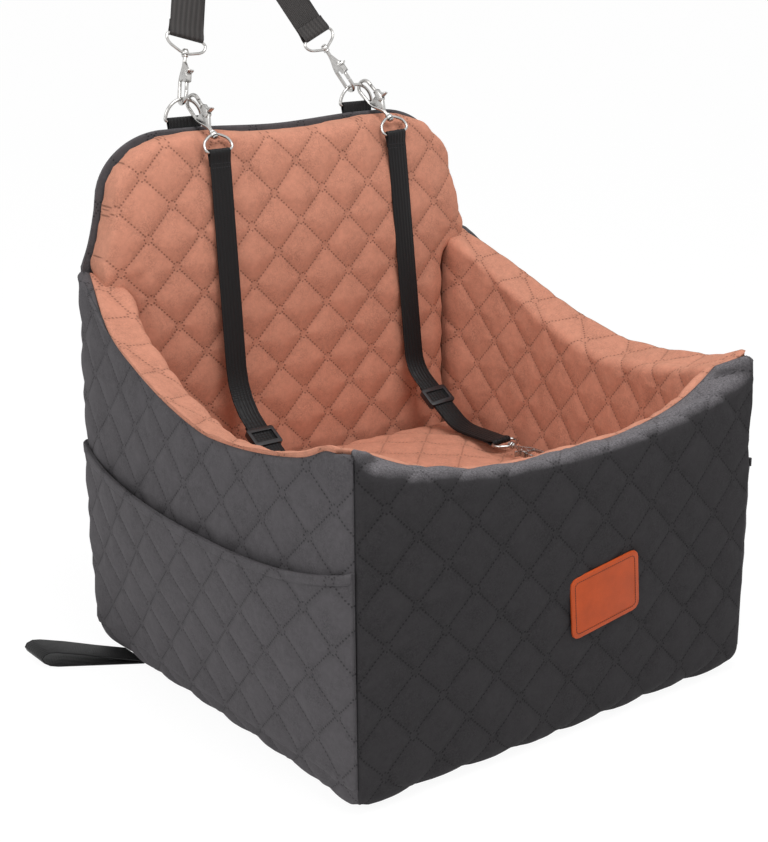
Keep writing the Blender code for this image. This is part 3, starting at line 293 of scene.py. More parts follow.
class HardwareSettings(bpy.types.PropertyGroup):
    """Finish of the metal and plastic parts."""

    nickel: FloatVectorProperty(
        name="Nickel", description="Colour of the polished metal", subtype="COLOR",
        size=3, default=(0.50, 0.49, 0.475))
    plastic: FloatVectorProperty(
        name="Plastic", description="Colour of the adjusters", subtype="COLOR",
        size=3, default=(0.013, 0.013, 0.015))
    leather: FloatVectorProperty(
        name="Patch", description="Colour of the bare patch", subtype="COLOR",
        size=3, default=(0.50, 0.072, 0.012))
    roundness: IntProperty(
        name="Roundness", description="Facets of a wire's quarter", default=5, min=2)


class StageSettings(bpy.types.PropertyGroup):
    """Camera and light."""

    lens: FloatProperty(
        name="Lens", description="Focal length in millimetres", default=71.59)
    key_power: FloatProperty(
        name="Key light", description="Power of the key light", default=20.0, unit="POWER")
    fill_power: FloatProperty(
        name="Fill light", description="Power of the fill light", default=0.8, unit="POWER")
    top_power: FloatProperty(
        name="Top light", description="Power of the light above", default=14.5, unit="POWER")
    world_strength: FloatProperty(
        name="Surroundings", description="Strength of the light from all round",
        default=0.50)


# Material nodes

class Nodes:
    """A short way to write a material's node tree."""

    def __init__(self, name, roughness, metallic=0.0):
        self.material = bpy.data.materials.new(name)
        self.material.use_nodes = True
        self.tree = self.material.node_tree
        self.shader = self.tree.nodes["Principled BSDF"]
        self.shader.inputs["Roughness"].default_value = roughness
        self.shader.inputs["Metallic"].default_value = metallic

    def add(self, kind, inputs=None, **settings):
        node = self.tree.nodes.new(kind)
        for key, value in settings.items():
            setattr(node, key, value)
        for key, value in (inputs or {}).items():
            self.join(value, node.inputs[key])
        return node

    def join(self, value, socket):
        if isinstance(value, bpy.types.NodeSocket):
            self.tree.links.new(value, socket)
        else:
            socket.default_value = value

    def math(self, operation, *values):
        node = self.add("ShaderNodeMath", operation=operation)
        for value, socket in zip(values, node.inputs):
            self.join(value, socket)
        return node.outputs[0]

    def object_place(self):
        return self.add("ShaderNodeTexCoord").outputs["Object"]

    def uv(self):
        place = self.add("ShaderNodeUVMap", uv_map="cloth").outputs["UV"]
        parts = self.add("ShaderNodeSeparateXYZ", {"Vector": place})
        return parts.outputs["X"], parts.outputs["Y"]

    def noise(self, place, scale, detail=2.0, rough=0.5):
        inputs = {"Vector": place, "Scale": scale, "Detail": detail, "Roughness": rough}
        return self.add("ShaderNodeTexNoise", inputs).outputs["Fac"]

    def hypotenuse(self, first, second):
        squares = self.math("ADD", self.math("POWER", first, 2.0),
                            self.math("POWER", second, 2.0))
        return self.math("POWER", squares, 0.5)

    def span(self, value, low, high, start=0.0, end=1.0):
        inputs = {"Value": value, "From Min": low, "From Max": high, "To Min": start,
                  "To Max": end}
        return self.add("ShaderNodeMapRange", inputs).outputs["Result"]

    def mix(self, factor, first, second):
        node = self.add("ShaderNodeMix", data_type="RGBA", blend_type="MIX")
        for socket, value in zip((node.inputs[0], node.inputs[6], node.inputs[7]),
                                 (factor, first, second)):
            self.join(value, socket)
        return node.outputs[2]

    def bump(self, height, distance, strength):
        inputs = {"Height": height, "Distance": distance, "Strength": strength}
        return self.add("ShaderNodeBump", inputs).outputs["Normal"]

    def finish(self, colour, normal, **values):
        self.join(colour, self.shader.inputs["Base Color"])
        self.join(normal, self.shader.inputs["Normal"])
        for key, value in values.items():
            self.shader.inputs[key.replace("_", " ")].default_value = value
        return self.material


def tone(colour, factor):
    return (*(min(part * factor, 1.0) for part in colour), 1.0)


def dotted_quilt(nodes, cloth):
    """How near a point is to a pressed dot of the quilting, and to a quilted line."""
    u, v = nodes.uv()
    across = nodes.math("DIVIDE", u, cloth.diamond_width)
    up = nodes.math("DIVIDE", v, cloth.diamond_height)
    pitch = math.hypot(cloth.diamond_width, cloth.diamond_height) / 2
    first = nodes.math("ADD", across, up)
    second = nodes.math("SUBTRACT", across, up)
    lines = []
    dots = []
    for line, along in ((first, second), (second, first)):
        off = nodes.math("PINGPONG", nodes.math("ABSOLUTE", line), 0.5)
        off = nodes.math("MULTIPLY", off, pitch)
        beat = nodes.math("MULTIPLY", nodes.math("ABSOLUTE", along), DOTS)
        step = nodes.math("MULTIPLY", nodes.math("PINGPONG", beat, 0.5), pitch / DOTS)
        lines.append(off)
        dots.append(nodes.hypotenuse(off, step))
    near_line = nodes.math("MINIMUM", *lines)
    signed = []
    for line in (first, second):
        shifted = nodes.math("ADD", line, 0.5)
        signed.append(nodes.math("SUBTRACT", nodes.math("FRACT", shifted), 0.5))
    du = nodes.math("MULTIPLY", nodes.math("ADD", *signed), cloth.diamond_width / 2)
    dv = nodes.math("MULTIPLY", nodes.math("SUBTRACT", *signed), cloth.diamond_height / 2)
    radius = nodes.hypotenuse(nodes.math("ABSOLUTE", du), nodes.math("ABSOLUTE", dv))
    clear = nodes.math("SUBTRACT", FLOWER_CLEAR, radius)
    near_dot = nodes.math("MAXIMUM", nodes.math("MINIMUM", *dots), clear)
    angle = nodes.math("ARCTAN2", dv, du)
    petal = nodes.math("MULTIPLY", angle, PETALS / math.tau)
    petal = nodes.math("SUBTRACT", nodes.math("FRACT", nodes.math("ADD", petal, 0.5)), 0.5)
    round_off = nodes.math("MULTIPLY", nodes.math("ABSOLUTE", petal), FLOWER * math.tau / PETALS)
    out_off = nodes.math("ABSOLUTE", nodes.math("SUBTRACT", radius, FLOWER))
    flower = nodes.hypotenuse(round_off, out_off)
    return nodes.math("MINIMUM", near_dot, flower), near_line


def quilted_cloth(name, colour, cloth, grain, sheen, pressed, top=None):
    """Short-piled cloth with pressed dots along its quilted lines. A piece with a top colour gets a
    painted highlight in that colour on its faces that look up, where it is folded over a rim."""
    nodes = Nodes(name, 0.92)
    place = nodes.object_place()
    near_dot, near_line = dotted_quilt(nodes, cloth)
    dot = nodes.span(near_dot, 0.0006, 0.0012, 1.0, 0.0)
    # Painted shade mask: 1 on a quilted line, fading out within 6 mm of it.
    groove_shade = nodes.span(near_line, 0.0, 0.006, 1.0, 0.0)
    fine = nodes.noise(place, PILE_FINE, 3.0, 0.65)
    clouds = nodes.noise(place, PILE_CLOUDS, 4.0, 0.6)
    brushed = nodes.noise(place, PILE_BRUSHED, 3.0, 0.6)
    pile = nodes.mix(nodes.span(fine, *FINE_SPAN), tone(colour, 1 - grain),
                     tone(colour, 1 + grain))
    pile = nodes.mix(nodes.span(clouds, *CLOUD_SPAN), pile, tone(colour, 1.22))
    soft = nodes.mix(0.35, pile, nodes.mix(nodes.span(brushed, *CLOUD_SPAN),
                                           tone(colour, 0.78), tone(colour, 1.15)))
    # Painted shade: the cloth is darker along the quilted lines, where they sink in.
    shade = nodes.mix(nodes.math("MULTIPLY", groove_shade, 0.16), soft, tone(colour, 0.55))
    shade = nodes.mix(nodes.math("MULTIPLY", dot, pressed), shade, tone(colour, 0.25))
    # Painted highlight: faces that look up are mixed towards the lighter top colour, as if lit from
    # above.
    if top is not None:
        normal = nodes.add("ShaderNodeNewGeometry").outputs["Normal"]
        rise = nodes.add("ShaderNodeSeparateXYZ", {"Vector": normal}).outputs["Z"]
        lit = nodes.mix(nodes.span(fine, *FINE_SPAN), tone(top, 0.55), tone(top, 1.35))
        lit = nodes.mix(nodes.math("MULTIPLY", dot, pressed), lit, tone(top, 0.3))
        shade = nodes.mix(nodes.span(rise, 0.35, 0.95, 0.0, 0.9), shade, lit)
    height = nodes.math("SUBTRACT", nodes.math("MULTIPLY", fine, 0.35), dot)
    rough = nodes.bump(nodes.math("ADD", height, nodes.math("MULTIPLY", brushed, 0.5)), 0.0007,
                       0.75)
    return nodes.finish(shade, rough, Sheen_Weight=sheen, Sheen_Roughness=0.45,
                        Sheen_Tint=tone(colour, 2.6), Specular_IOR_Level=0.18)


def woven(name, colour, ribs):
    """Webbing with ribs along its length and a fine cross weave."""
    nodes = Nodes(name, 0.55)
    u, v = nodes.uv()
    rib = nodes.math("SINE", nodes.math("MULTIPLY", u, math.tau * ribs))
    weft = nodes.math("SINE", nodes.math("MULTIPLY", v, math.tau * WEFTS))
    lean = nodes.math("SINE", nodes.math("MULTIPLY", nodes.math("ADD", u, v), math.tau * TWILLS))
    place = nodes.object_place()
    dust = nodes.noise(place, 420.0, 3.0)
    weave = nodes.math("ADD", nodes.math("MULTIPLY", weft, 0.35), nodes.math("MULTIPLY", lean, 0.35))
    height = nodes.math("ADD", rib, weave)
    shade = nodes.mix(nodes.span(height, -1.2, 1.2), tone(colour, 0.55), tone(colour, 1.5))
    shade = nodes.mix(nodes.math("MULTIPLY", dust, 0.25), shade, tone(colour, 1.7))
    return nodes.finish(shade, nodes.bump(height, 0.00022, 0.8), Sheen_Weight=0.03,
                        Sheen_Roughness=0.4, Specular_IOR_Level=0.25)


def polished(name, colour):
    nodes = Nodes(name, 0.16, 1.0)
    place = nodes.object_place()
    # Random lighter and darker patches over the metal.
    mottle = nodes.noise(place, 160.0, 5.0, 0.7)
    shade = nodes.mix(nodes.span(mottle, 0.35, 0.75), tone(colour, 1.1), tone(colour, 0.72))
    rough = nodes.span(nodes.noise(place, 320.0, 4.0), 0.3, 0.75, 0.16, 0.34)
    nodes.join(rough, nodes.shader.inputs["Roughness"])
    return nodes.finish(shade, nodes.bump(mottle, 0.00008, 0.4))


def moulded(name, colour):
    nodes = Nodes(name, 0.34)
    place = nodes.object_place()
    grain = nodes.noise(place, 1500.0, 2.0)
    shade = nodes.mix(grain, tone(colour, 0.8), tone(colour, 1.4))
    return nodes.finish(shade, nodes.bump(grain, 0.00006, 0.5), Specular_IOR_Level=0.5)


def tanned(name, colour):
    nodes = Nodes(name, 0.48)
    place = nodes.object_place()
    cells = nodes.add("ShaderNodeTexVoronoi", {"Vector": place, "Scale": 900.0})
    cloud = nodes.noise(place, 60.0, 4.0)
    shade = nodes.mix(nodes.span(cloud, 0.3, 0.7), tone(colour, 0.9), tone(colour, 1.1))
    shade = nodes.mix(nodes.span(cells.outputs["Distance"], 0.0, 0.5, 0.25, 0.0), shade,
                      tone(colour, 0.6))
    return nodes.finish(shade, nodes.bump(cells.outputs["Distance"], 0.00012, 0.5),
                        Specular_IOR_Level=0.25)


def thread(name, colour):
    nodes = Nodes(name, 0.7)
    twist = nodes.noise(nodes.object_place(), 2600.0, 1.0)
    shade = nodes.mix(twist, tone(colour, 0.7), tone(colour, 1.3))
    return nodes.finish(shade, nodes.bump(twist, 0.00005, 0.6))


def sponge(name, colour):
    nodes = Nodes(name, 0.95)
    cells = nodes.add("ShaderNodeTexVoronoi", {"Vector": nodes.object_place(), "Scale": 700.0})
    shade = nodes.mix(cells.outputs["Distance"], tone(colour, 0.7), tone(colour, 1.1))
    return nodes.finish(shade, nodes.bump(cells.outputs["Distance"], 0.0004, 0.8))


FINISHES = {}


def make_finishes(scene):
    cloth = scene.seat_cloth
    web = scene.seat_webbing
    metal = scene.seat_hardware
    FINISHES.update({
        "grey": quilted_cloth("grey_pile", cloth.grey, cloth, 0.38, 0.22, 0.60),
        # Painted shade: the front cover is the same grey cloth as the sides, painted darker as if
        # less lit. Its top colour is the painted highlight on the rim.
        "grey_shaded_front": quilted_cloth("grey_pile_brushed_down", tone(cloth.grey, 0.40)[:3], cloth,
                                    0.42, 0.10, 0.60, tone(cloth.grey, 1.9)[:3]),
        "terracotta": quilted_cloth("terracotta_pile", cloth.terracotta, cloth, 0.30, 0.24,
                                    0.62),
        "webbing": woven("black_webbing", web.black, 260),
        "ribbed": woven("ribbed_webbing", web.ribbed, 180),
        "nickel": polished("polished_nickel", metal.nickel),
        "plastic": moulded("moulded_black", metal.plastic),
        "leather": tanned("tan_patch", metal.leather),
        "patch_thread": thread("patch_thread", (0.10, 0.025, 0.010)),
        "black_thread": thread("black_thread", (0.018, 0.018, 0.020)),
        "foam": sponge("foam_core", (0.060, 0.060, 0.065)),
        "base": moulded("base_cloth", (0.02, 0.02, 0.02)),
    })


# Meshes and objects

def placed(name, data):
    """A new object in the scene."""
    thing = bpy.data.objects.new(name, data)
    bpy.context.scene.collection.objects.link(thing)
    return thing


def new_object(name, mesh, finish, node=None, body=SEAT, sharp=False):
    """Put a finished mesh in the scene, riding on a body."""
    mesh.materials.clear()
    mesh.materials.append(FINISHES[finish])
    mesh.shade_smooth()
    if sharp:
        mesh.set_sharp_from_angle(angle=SHARP)
    thing = placed(name, mesh)
    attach(thing, body)
    if node:
        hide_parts(node)
    return thing


def applied(thing):
    """An object's shape as a plain mesh. The object itself goes."""
    bpy.context.view_layer.update()
    graph = bpy.context.evaluated_depsgraph_get()
    mesh = bpy.data.meshes.new_from_object(thing.evaluated_get(graph))
    bpy.data.objects.remove(thing)
    return mesh


def modified(mesh, *settings):
    """A mesh after modifiers are applied."""
    thing = placed(mesh.name, mesh)
    for kind, values in settings:
        step = thing.modifiers.new(kind, kind)
        for key, value in values.items():
            setattr(step, key, value)
    return applied(thing)


def bevelled(mesh, width, segments, **limits):
    """A mesh with its sharp edges rounded."""
    values = {"width": width, "segments": segments, "limit_method": "ANGLE"}
    return modified(mesh, ("BEVEL", {**values, **limits}))


def edit_mesh(mesh, change):
    """Change a mesh in place."""
    bm = bmesh.new()
    bm.from_mesh(mesh)
    change(bm)
    bm.to_mesh(mesh)
    bm.free()


def mesh_from(bm, name):
    """What was drawn, as a new mesh."""
    mesh = bpy.data.meshes.new(name)
    bm.to_mesh(mesh)
    bm.free()
    return mesh


def outward(bm):
    bmesh.ops.recalc_face_normals(bm, faces=bm.faces)


def merged_copy(node, name):
    """A copy of a node's mesh, with the points that lie together made one."""
    mesh = frame["nodes"][node].data.copy()
    mesh.name = name
    edit_mesh(mesh, lambda bm: bmesh.ops.remove_doubles(bm, verts=bm.verts, dist=MERGE_REACH))
    mesh.materials.clear()
    return mesh


def vectors(items, key):
    values = np.empty(len(items) * 3)
    items.foreach_get(key, values)
    return values.reshape(-1, 3)


def coordinates(mesh):
    return vectors(mesh.vertices, "co")


def set_coordinates(mesh, points):
    mesh.vertices.foreach_set("co", points.ravel())


def map_cloth(mesh, places):
    """Give a mesh its cloth UV map in metres, from a place for each point."""
    layer = mesh.uv_layers.new(name="cloth")
    loops = np.empty(len(mesh.loops), dtype=np.int64)
    mesh.loops.foreach_get("vertex_index", loops)
    layer.data.foreach_set("uv", places[loops].ravel())


def axes_frame(x, z, origin):
    """A place from its X and Z axes and its origin."""
    place = Matrix((x, z.cross(x), z)).transposed().to_4x4()
    place.translation = origin
    return place


# Cloth surfaces

def quilt_height(u, v, cloth):
    """Height of the quilting over its lines."""
    first = u / cloth.diamond_width + v / cloth.diamond_height
    second = u / cloth.diamond_width - v / cloth.diamond_height
    pitch = math.hypot(cloth.diamond_width, cloth.diamond_height) / 2
    off = np.minimum(np.abs(first - np.round(first)), np.abs(second - np.round(second))) * pitch
    puff = cloth.puff * smooth(off / QUILT_SHOULDER)
    return puff - cloth.channel * np.exp(-(off / QUILT_CHANNEL) ** 2)


def waves(points, scale, seed):
    """Soft noise at many points."""
    out = np.empty(len(points))
    shift = Vector((seed * 7.31, seed * 3.17, seed * 5.71))
    for k, point in enumerate(points):
        out[k] = noise.noise(Vector(point) * scale + shift)
    return out


def grid_noise(grid, scale, seed, stride=4):
    """Soft noise over a grid of points, worked out at every few points and filled in."""
    rows = np.unique(np.append(np.arange(0, grid.shape[0], stride), grid.shape[0] - 1))
    cols = np.unique(np.append(np.arange(0, grid.shape[1], stride), grid.shape[1] - 1))
    coarse = waves(grid[np.ix_(rows, cols)].reshape(-1, 3), scale, seed)
    coarse = coarse.reshape(len(rows), len(cols))
    wide = np.array([np.interp(np.arange(grid.shape[1]), cols, line) for line in coarse])
    tall = [np.interp(np.arange(grid.shape[0]), rows, wide[:, k]) for k in range(grid.shape[1])]
    return np.array(tall).T


def grid_normals(grid):
    across = np.gradient(grid, axis=0)
    along = np.gradient(grid, axis=1)
    normal = np.cross(across, along)
    return normal / np.maximum(np.linalg.norm(normal, axis=2, keepdims=True), 1e-12)


def grid_mesh(name, outer, inner, uv):
    """A closed shell of two grids with a cloth UV map in metres."""
    rows, cols = outer.shape[:2]
    count = rows * cols
    index = np.arange(count).reshape(rows, cols)
    a, b = index[:-1, :-1].ravel(), index[1:, :-1].ravel()
    c, d = index[1:, 1:].ravel(), index[:-1, 1:].ravel()
    faces = [np.stack((a, b, c, d), 1), np.stack((d, c, b, a), 1) + count]
    border = np.concatenate((index[:, 0], index[-1, 1:], index[-2::-1, -1], index[0, -2::-1]))
    start, end = border[:-1], border[1:]
    faces.append(np.stack((start, start + count, end + count, end), 1))
    mesh = bpy.data.meshes.new(name)
    mesh.from_pydata(np.concatenate((outer.reshape(-1, 3), inner.reshape(-1, 3))), [],
                     np.concatenate(faces).tolist())
    map_cloth(mesh, np.tile(uv.reshape(-1, 2), (2, 1)))
    edit_mesh(mesh, outward)
    return mesh


def resampled(path, count):
    """A path of a few points as many points, evenly spaced, with their distance along it."""
    path = np.array(path)
    reach = np.append(0, np.cumsum(np.linalg.norm(np.diff(path, axis=0), axis=1)))
    at = np.linspace(0, reach[-1], count)
    points = np.stack([np.interp(at, reach, path[:, k]) for k in range(path.shape[1])], 1)
    return points, at


def arc(centre, radius, start, end, count=10):
    angles = np.linspace(start, end, count)
    return [(centre[0] + radius * math.cos(a), centre[1] + radius * math.sin(a)) for a in angles]


class Side:
    """One side of the seat: its face at the floor, the way along it and the way in."""

    def __init__(self, centre, along, inward, half, bulge):
        self.centre = np.array(centre)
        self.along = np.array(along)
        self.inward = np.array(inward)
        self.half = half
        self.bulge = bulge

    def swell(self, share, height):
        return self.bulge * swell(share) * smooth(height / BULGE_HEIGHT)

    def grid(self, shares, path_at, step, tuck=0.0):
        """Points over the side, along a path of insets and heights for each share. The
        inner face's far end is tucked in behind the backrest."""
        keys = [path_at(share) for share in shares]
        longest = max(np.linalg.norm(np.diff(np.array(key), axis=0), axis=1).sum() for key in keys)
        count = max(int(longest / step), 2)
        points, uv = [], []
        for share, key in zip(shares, keys):
            path, reach = resampled(key, count)
            inset, height = path[:, 0], path[:, 1]
            setback = np.clip(inset, 0, None)
            run = share * (self.half - setback - GAP)
            run += tuck * smooth((share - 0.9) / 0.1) * smooth((setback - 0.020) / 0.015)
            out = inset - self.swell(share, height)
            place = self.centre + np.outer(run, self.along) + np.outer(out, self.inward)
            place[:, 2] += height
            points.append(place)
            foot = np.argmax(height > BASE_ROUND)
            uv.append(np.stack((np.full(count, share * self.half),
                                reach - reach[foot] + height[foot]), 1))
        return np.array(points), np.array(uv)


FRONT = Side((0, -DEPTH / 2, 0), (1, 0, 0), (0, 1, 0), WIDTH / 2, FRONT_BULGE)
REAR = Side((0, DEPTH / 2, 0), (1, 0, 0), (0, -1, 0), WIDTH / 2, 0.0)
SIDES = {"left": Side((-WIDTH / 2, 0, 0), (0, 1, 0), (1, 0, 0), DEPTH / 2, SIDE_BULGE),
         "right": Side((WIDTH / 2, 0, 0), (0, 1, 0), (-1, 0, 0), DEPTH / 2, SIDE_BULGE)}


def shares_of(side, step):
    return np.linspace(-1, 1, int(2 * side.half / step))


def side_rim(share):
    along = (share + 1) / 2
    if along < SIDE_LOW_AT:
        return lerp(SIDE_LOW_HEIGHT, CORNER_HEIGHT, ((SIDE_LOW_AT - along) / SIDE_LOW_AT) ** 2)
    rear = (along - SIDE_LOW_AT) / (1 - SIDE_LOW_AT)
    return lerp(SIDE_LOW_HEIGHT, SIDE_REAR_HEIGHT, rear ** 1.5)


def side_slope(share, inset):
    return side_rim(share) - RIM_FALL * min(inset / (WALL - RIM_ROUND), 1)


def front_rim(share):
    return FRONT_LOW_HEIGHT + (CORNER_HEIGHT - RIM_FALL - FRONT_LOW_HEIGHT) * abs(share) ** 3


def front_crease(share):
    low = FRONT_LOW_HEIGHT + FRONT_CREST_RISE
    corner = max((abs(share) - CREST_EAR_AT) / CREST_EAR_REACH, 0.0)
    rise = FRONT_END_RISE * abs(share) ** FRONT_END_POWER
    return low + rise + (CORNER_HEIGHT - CORNER_SINK - low - FRONT_END_RISE) * corner


def back_outline(x):
    across = abs(x)
    if across > SHOULDER_HALF:
        share = (WIDTH / 2 - across) / (WIDTH / 2 - SHOULDER_HALF)
        return SIDE_REAR_HEIGHT + SHOULDER_RISE * max(share, 0.0) ** 2
    corner = max(across - (SHOULDER_HALF - TOP_CORNER), 0.0) / TOP_CORNER
    drop = TOP_CORNER_DROP * (1 - math.sqrt(max(1 - corner ** 2, 0.0)))
    return BACK_HEIGHT - TOP_DIP * (1 - float(smooth(across / RING_X))) - drop


def foot():
    return [(BASE_ROUND + FLANGE, 0)] + arc((BASE_ROUND, BASE_ROUND), BASE_ROUND,
                                            -math.pi / 2, -math.pi)


def front_cover_path(share):
    top = arc((RIM_ROUND, front_crease(share) - RIM_ROUND), RIM_ROUND, math.pi, math.pi / 2)
    return foot() + top + [(WALL - LINING_STRIP, front_rim(share))]


def ear(share):
    """How far in the lining's edge lies from the outer face, where the grey cloth wraps over
    the rim at a front corner and towards the backrest."""
    front = EAR_INSET * float(smooth((-share - EAR_SHARE) / (1 - EAR_SHARE)))
    rear = REAR_EAR_INSET * float(smooth((share - REAR_EAR_SHARE) / (1 - REAR_EAR_SHARE)))
    return front + rear


def hump(share):
    """How far a front corner's ear stands up behind the seam, and sinks at the seam."""
    off = (share + 1) * DEPTH / 2
    sink = CORNER_SINK * float(smooth(1 - off / HUMP_AT))
    return HUMP * math.exp(-((off - HUMP_AT) / HUMP_WIDTH) ** 2) - sink


def side_cover_path(share):
    over = ear(share)
    drop = lerp(COVER_FOLD_DROP, COVER_EAR_DROP, min(over / REAR_EAR_INSET, 1.0)) - hump(share)
    edge = side_slope(share, 0) - COVER_EDGE_DROP + hump(share)
    return foot() + [(0, edge), (over, side_slope(share, over) - drop)]


def back_cover_path(share):
    return foot() + [(0, back_outline(share * WIDTH / 2))]


def side_lining_path(share):
    low = side_slope(share, WALL)
    over = arc((WALL - RIM_ROUND, low - RIM_ROUND), RIM_ROUND, 0, math.pi / 2)
    edge = ear(share)
    top = side_slope(share, edge) + hump(share)
    return [(WALL, LINING_FOOT)] + over + [(edge - 0.0006, top), (edge - 0.0008, top - 0.004)]


def front_lining_path(share):
    small = LINING_STRIP
    over = arc((WALL - small, front_rim(share) - small), small, 0, math.pi / 2)
    return [(WALL, LINING_FOOT)] + over


def pocket_top(share):
    power = 1.5 if share > 0 else 4.0
    return POCKET_CORNER_HEIGHT - POCKET_SAG * (1 - abs(share) ** power)


def pocket_path(share):
    heights = np.linspace(BASE_ROUND, pocket_top(share), 24)
    rise = (heights - BASE_ROUND) / (heights[-1] - BASE_ROUND)
    slack = POCKET_SLACK * swell(share) * rise ** 1.5
    return [(-POCKET_CLEAR - CLOTH - out, z) for out, z in zip(slack, heights)]


def rounded_corner(grid, limit=None):
    """Round the seat's upright corners, where two covers are sewn together. A limit keeps
    the points of a board inside the covers that far from the corner's middle."""
    half = np.array([WIDTH / 2 - CORNER_ROUND, DEPTH / 2 - CORNER_ROUND])
    over = np.abs(grid[..., :2]) - half
    inside = (over > 0).all(axis=-1)
    reach = np.maximum(np.linalg.norm(over, axis=-1), 1e-9)
    scale = np.where(inside, over.max(axis=-1) / reach, 1.0)
    if limit is not None:
        scale = np.where(inside, np.minimum(1.0, limit / reach), 1.0)
    moved = grid.copy()
    plan = np.sign(grid[..., :2]) * (half + over * scale[..., None])
    moved[..., :2] = np.where(inside[..., None], plan, grid[..., :2])
    return moved


def edge_fade(grid):
    """0 on the border of a grid and 1 away from it."""
    rows = np.arange(grid.shape[0])[:, None]
    cols = np.arange(grid.shape[1])[None, :]
    step_u = np.linalg.norm(grid[1] - grid[0], axis=1).mean()
    step_v = np.linalg.norm(grid[:, 1] - grid[:, 0], axis=1).mean()
    near = np.minimum(np.minimum(rows, rows.max() - rows) * step_u,
                      np.minimum(cols, cols.max() - cols) * step_v)
    return smooth(near / SEAM_WIDTH)


def sewn_panel(name, node, side, path_at, finish, cloth, seed, soft=1.0):
    """One quilted panel of cloth over a wall, drawn in along its seams."""
    shares = shares_of(side, cloth.grid)
    lining = path_at in (side_lining_path, front_lining_path)
    tuck = LINING_TUCK if path_at == side_lining_path else 0.0
    base, uv = side.grid(shares, path_at, cloth.grid, tuck)
    base = rounded_corner(base)
    normal = grid_normals(base)
    lean = normal[base.shape[0] // 2, base.shape[1] // 2] @ side.inward
    if (lean > 0) != lining:
        normal = -normal
    fade = edge_fade(base)
    lift = quilt_height(uv[..., 0], uv[..., 1], cloth) * fade
    folds = grid_noise(base, LONG_FOLDS, seed) + grid_noise(base, SHORT_FOLDS, seed + 1) * 0.55
    crumple = grid_noise(base, CRUMPLES, seed + 2, 2) * 0.22
    if lining:
        hanging = grid_noise(base * (1.0, 1.0, 0.30), HANGING_FOLDS, seed + 3, 2)
        clouds = smooth(grid_noise(base, FOLD_CLOUDS, seed + 4) * 2 + 0.4)
        crumple = crumple + hanging * 0.75 * clouds
    lift = lift + (folds + crumple) * cloth.wrinkle * soft * lerp(0.35, 1.0, fade)
    lift = lift - EDGE_PINCH * (1 - fade) * 0.5
    outer = base + normal * lift[..., None]
    inner = base - normal * CLOTH - normal * EDGE_PINCH * 0.5
    outer[..., 2] = np.maximum(outer[..., 2], 0.0)
    inner[..., 2] = np.maximum(inner[..., 2], 0.0002)
    thing = new_object(name, grid_mesh(name, outer, inner, uv), finish, node)


# Cushions

def inflated(mesh, cap):
    """Swell a remeshed cushion with cloth simulation, no point by more than the cap."""
    before = coordinates(mesh)
    scene = bpy.context.scene
    thing = placed("swelling", mesh)
    cloth = thing.modifiers.new("swell", "CLOTH")
    cloth.settings.use_pressure = True
    cloth.settings.uniform_pressure_force = SWELL_PRESSURE
    cloth.settings.effector_weights.gravity = 0.0
    cloth.settings.tension_stiffness = SWELL_STIFFNESS
    cloth.settings.compression_stiffness = SWELL_STIFFNESS
    cloth.point_cache.frame_start = 1
    cloth.point_cache.frame_end = SWELL_FRAMES
    for step in range(1, SWELL_FRAMES + 1):
        scene.frame_set(step)
    graph = bpy.context.evaluated_depsgraph_get()
    after = coordinates(thing.evaluated_get(graph).to_mesh())
    scene.frame_set(1)
    bpy.data.objects.remove(thing)
    move = after - before
    length = np.maximum(np.linalg.norm(move, axis=1, keepdims=True), 1e-9)
    moved = before + move * np.minimum(1.0, cap / length)
    result = bpy.data.meshes.new("swollen")
    faces = [tuple(face.vertices) for face in mesh.polygons]
    result.from_pydata(moved.tolist(), [], faces)
    return result


def hook_distance(points):
    """How far points lie from the snap hooks and bails that press into the cushions."""
    near = np.full(len(points), 1.0)
    for name in ("left_upper", "right_upper", "left_lower", "right_lower"):
        place = hook_frame(name)
        start = np.array(place.translation)
        axis = np.array(place.col[2].xyz)
        along = np.clip((points - start) @ axis, -HOOK_REACH, BAIL_REACH)
        near = np.minimum(near, np.linalg.norm(points - start - np.outer(along, axis), axis=1))
    return near


def stuffed(name, node, cap, cloth, flat, face, seed):
    """A quilted cushion: swollen, then sewn through along its diamonds."""
    mesh = merged_copy(node, name)
    mesh = modified(mesh, ("REMESH", {"mode": "VOXEL", "voxel_size": CUSHION_VOXEL}))
    base = coordinates(mesh)
    swollen = inflated(mesh, cap)
    held = smooth((hook_distance(base) - SWELL_CLEAR) / SWELL_FADE)[:, None]
    set_coordinates(swollen, base + (coordinates(swollen) - base) * held)
    fine = modified(swollen, ("SMOOTH", {"factor": 0.5, "iterations": 3}),
                    ("SUBSURF", {"levels": 1, "render_levels": 1}))
    points = coordinates(fine)
    normals = vectors(fine.vertex_normals, "vector")
    u, v = points @ np.array(flat[0]), points @ np.array(flat[1])
    facing = smooth((normals @ np.array(face) - 0.15) / 0.5)
    away = smooth((hook_distance(points) - PRESS_CLEAR) / PRESS_FADE)
    lift = quilt_height(u, v, cloth) * facing * lerp(0.25, 1.0, away)
    crumple = waves(points, 24.0, seed) * 0.5 + waves(points, 60.0, seed + 1) * 0.22
    lift = lift + crumple * cloth.wrinkle * 0.7 * away
    sink = CUSHION_SINK + HOOK_PRESS * (1 - away)
    set_coordinates(fine, points + normals * (lift - sink)[:, None])
    map_cloth(fine, np.stack((u, v), 1))
    thing = new_object(name, fine, "terracotta", node)


# Wires, plates and hooks

def curve_of(name, rows):
    """A curve with one plain spline for each row of points."""
    curve = bpy.data.curves.new(name, "CURVE")
    curve.dimensions = "3D"
    for row in rows:
        line = curve.splines.new("POLY")
        line.points.add(len(row) - 1)
        for spot, point in zip(line.points, row):
            spot.co = (*point, 1.0)
    return curve


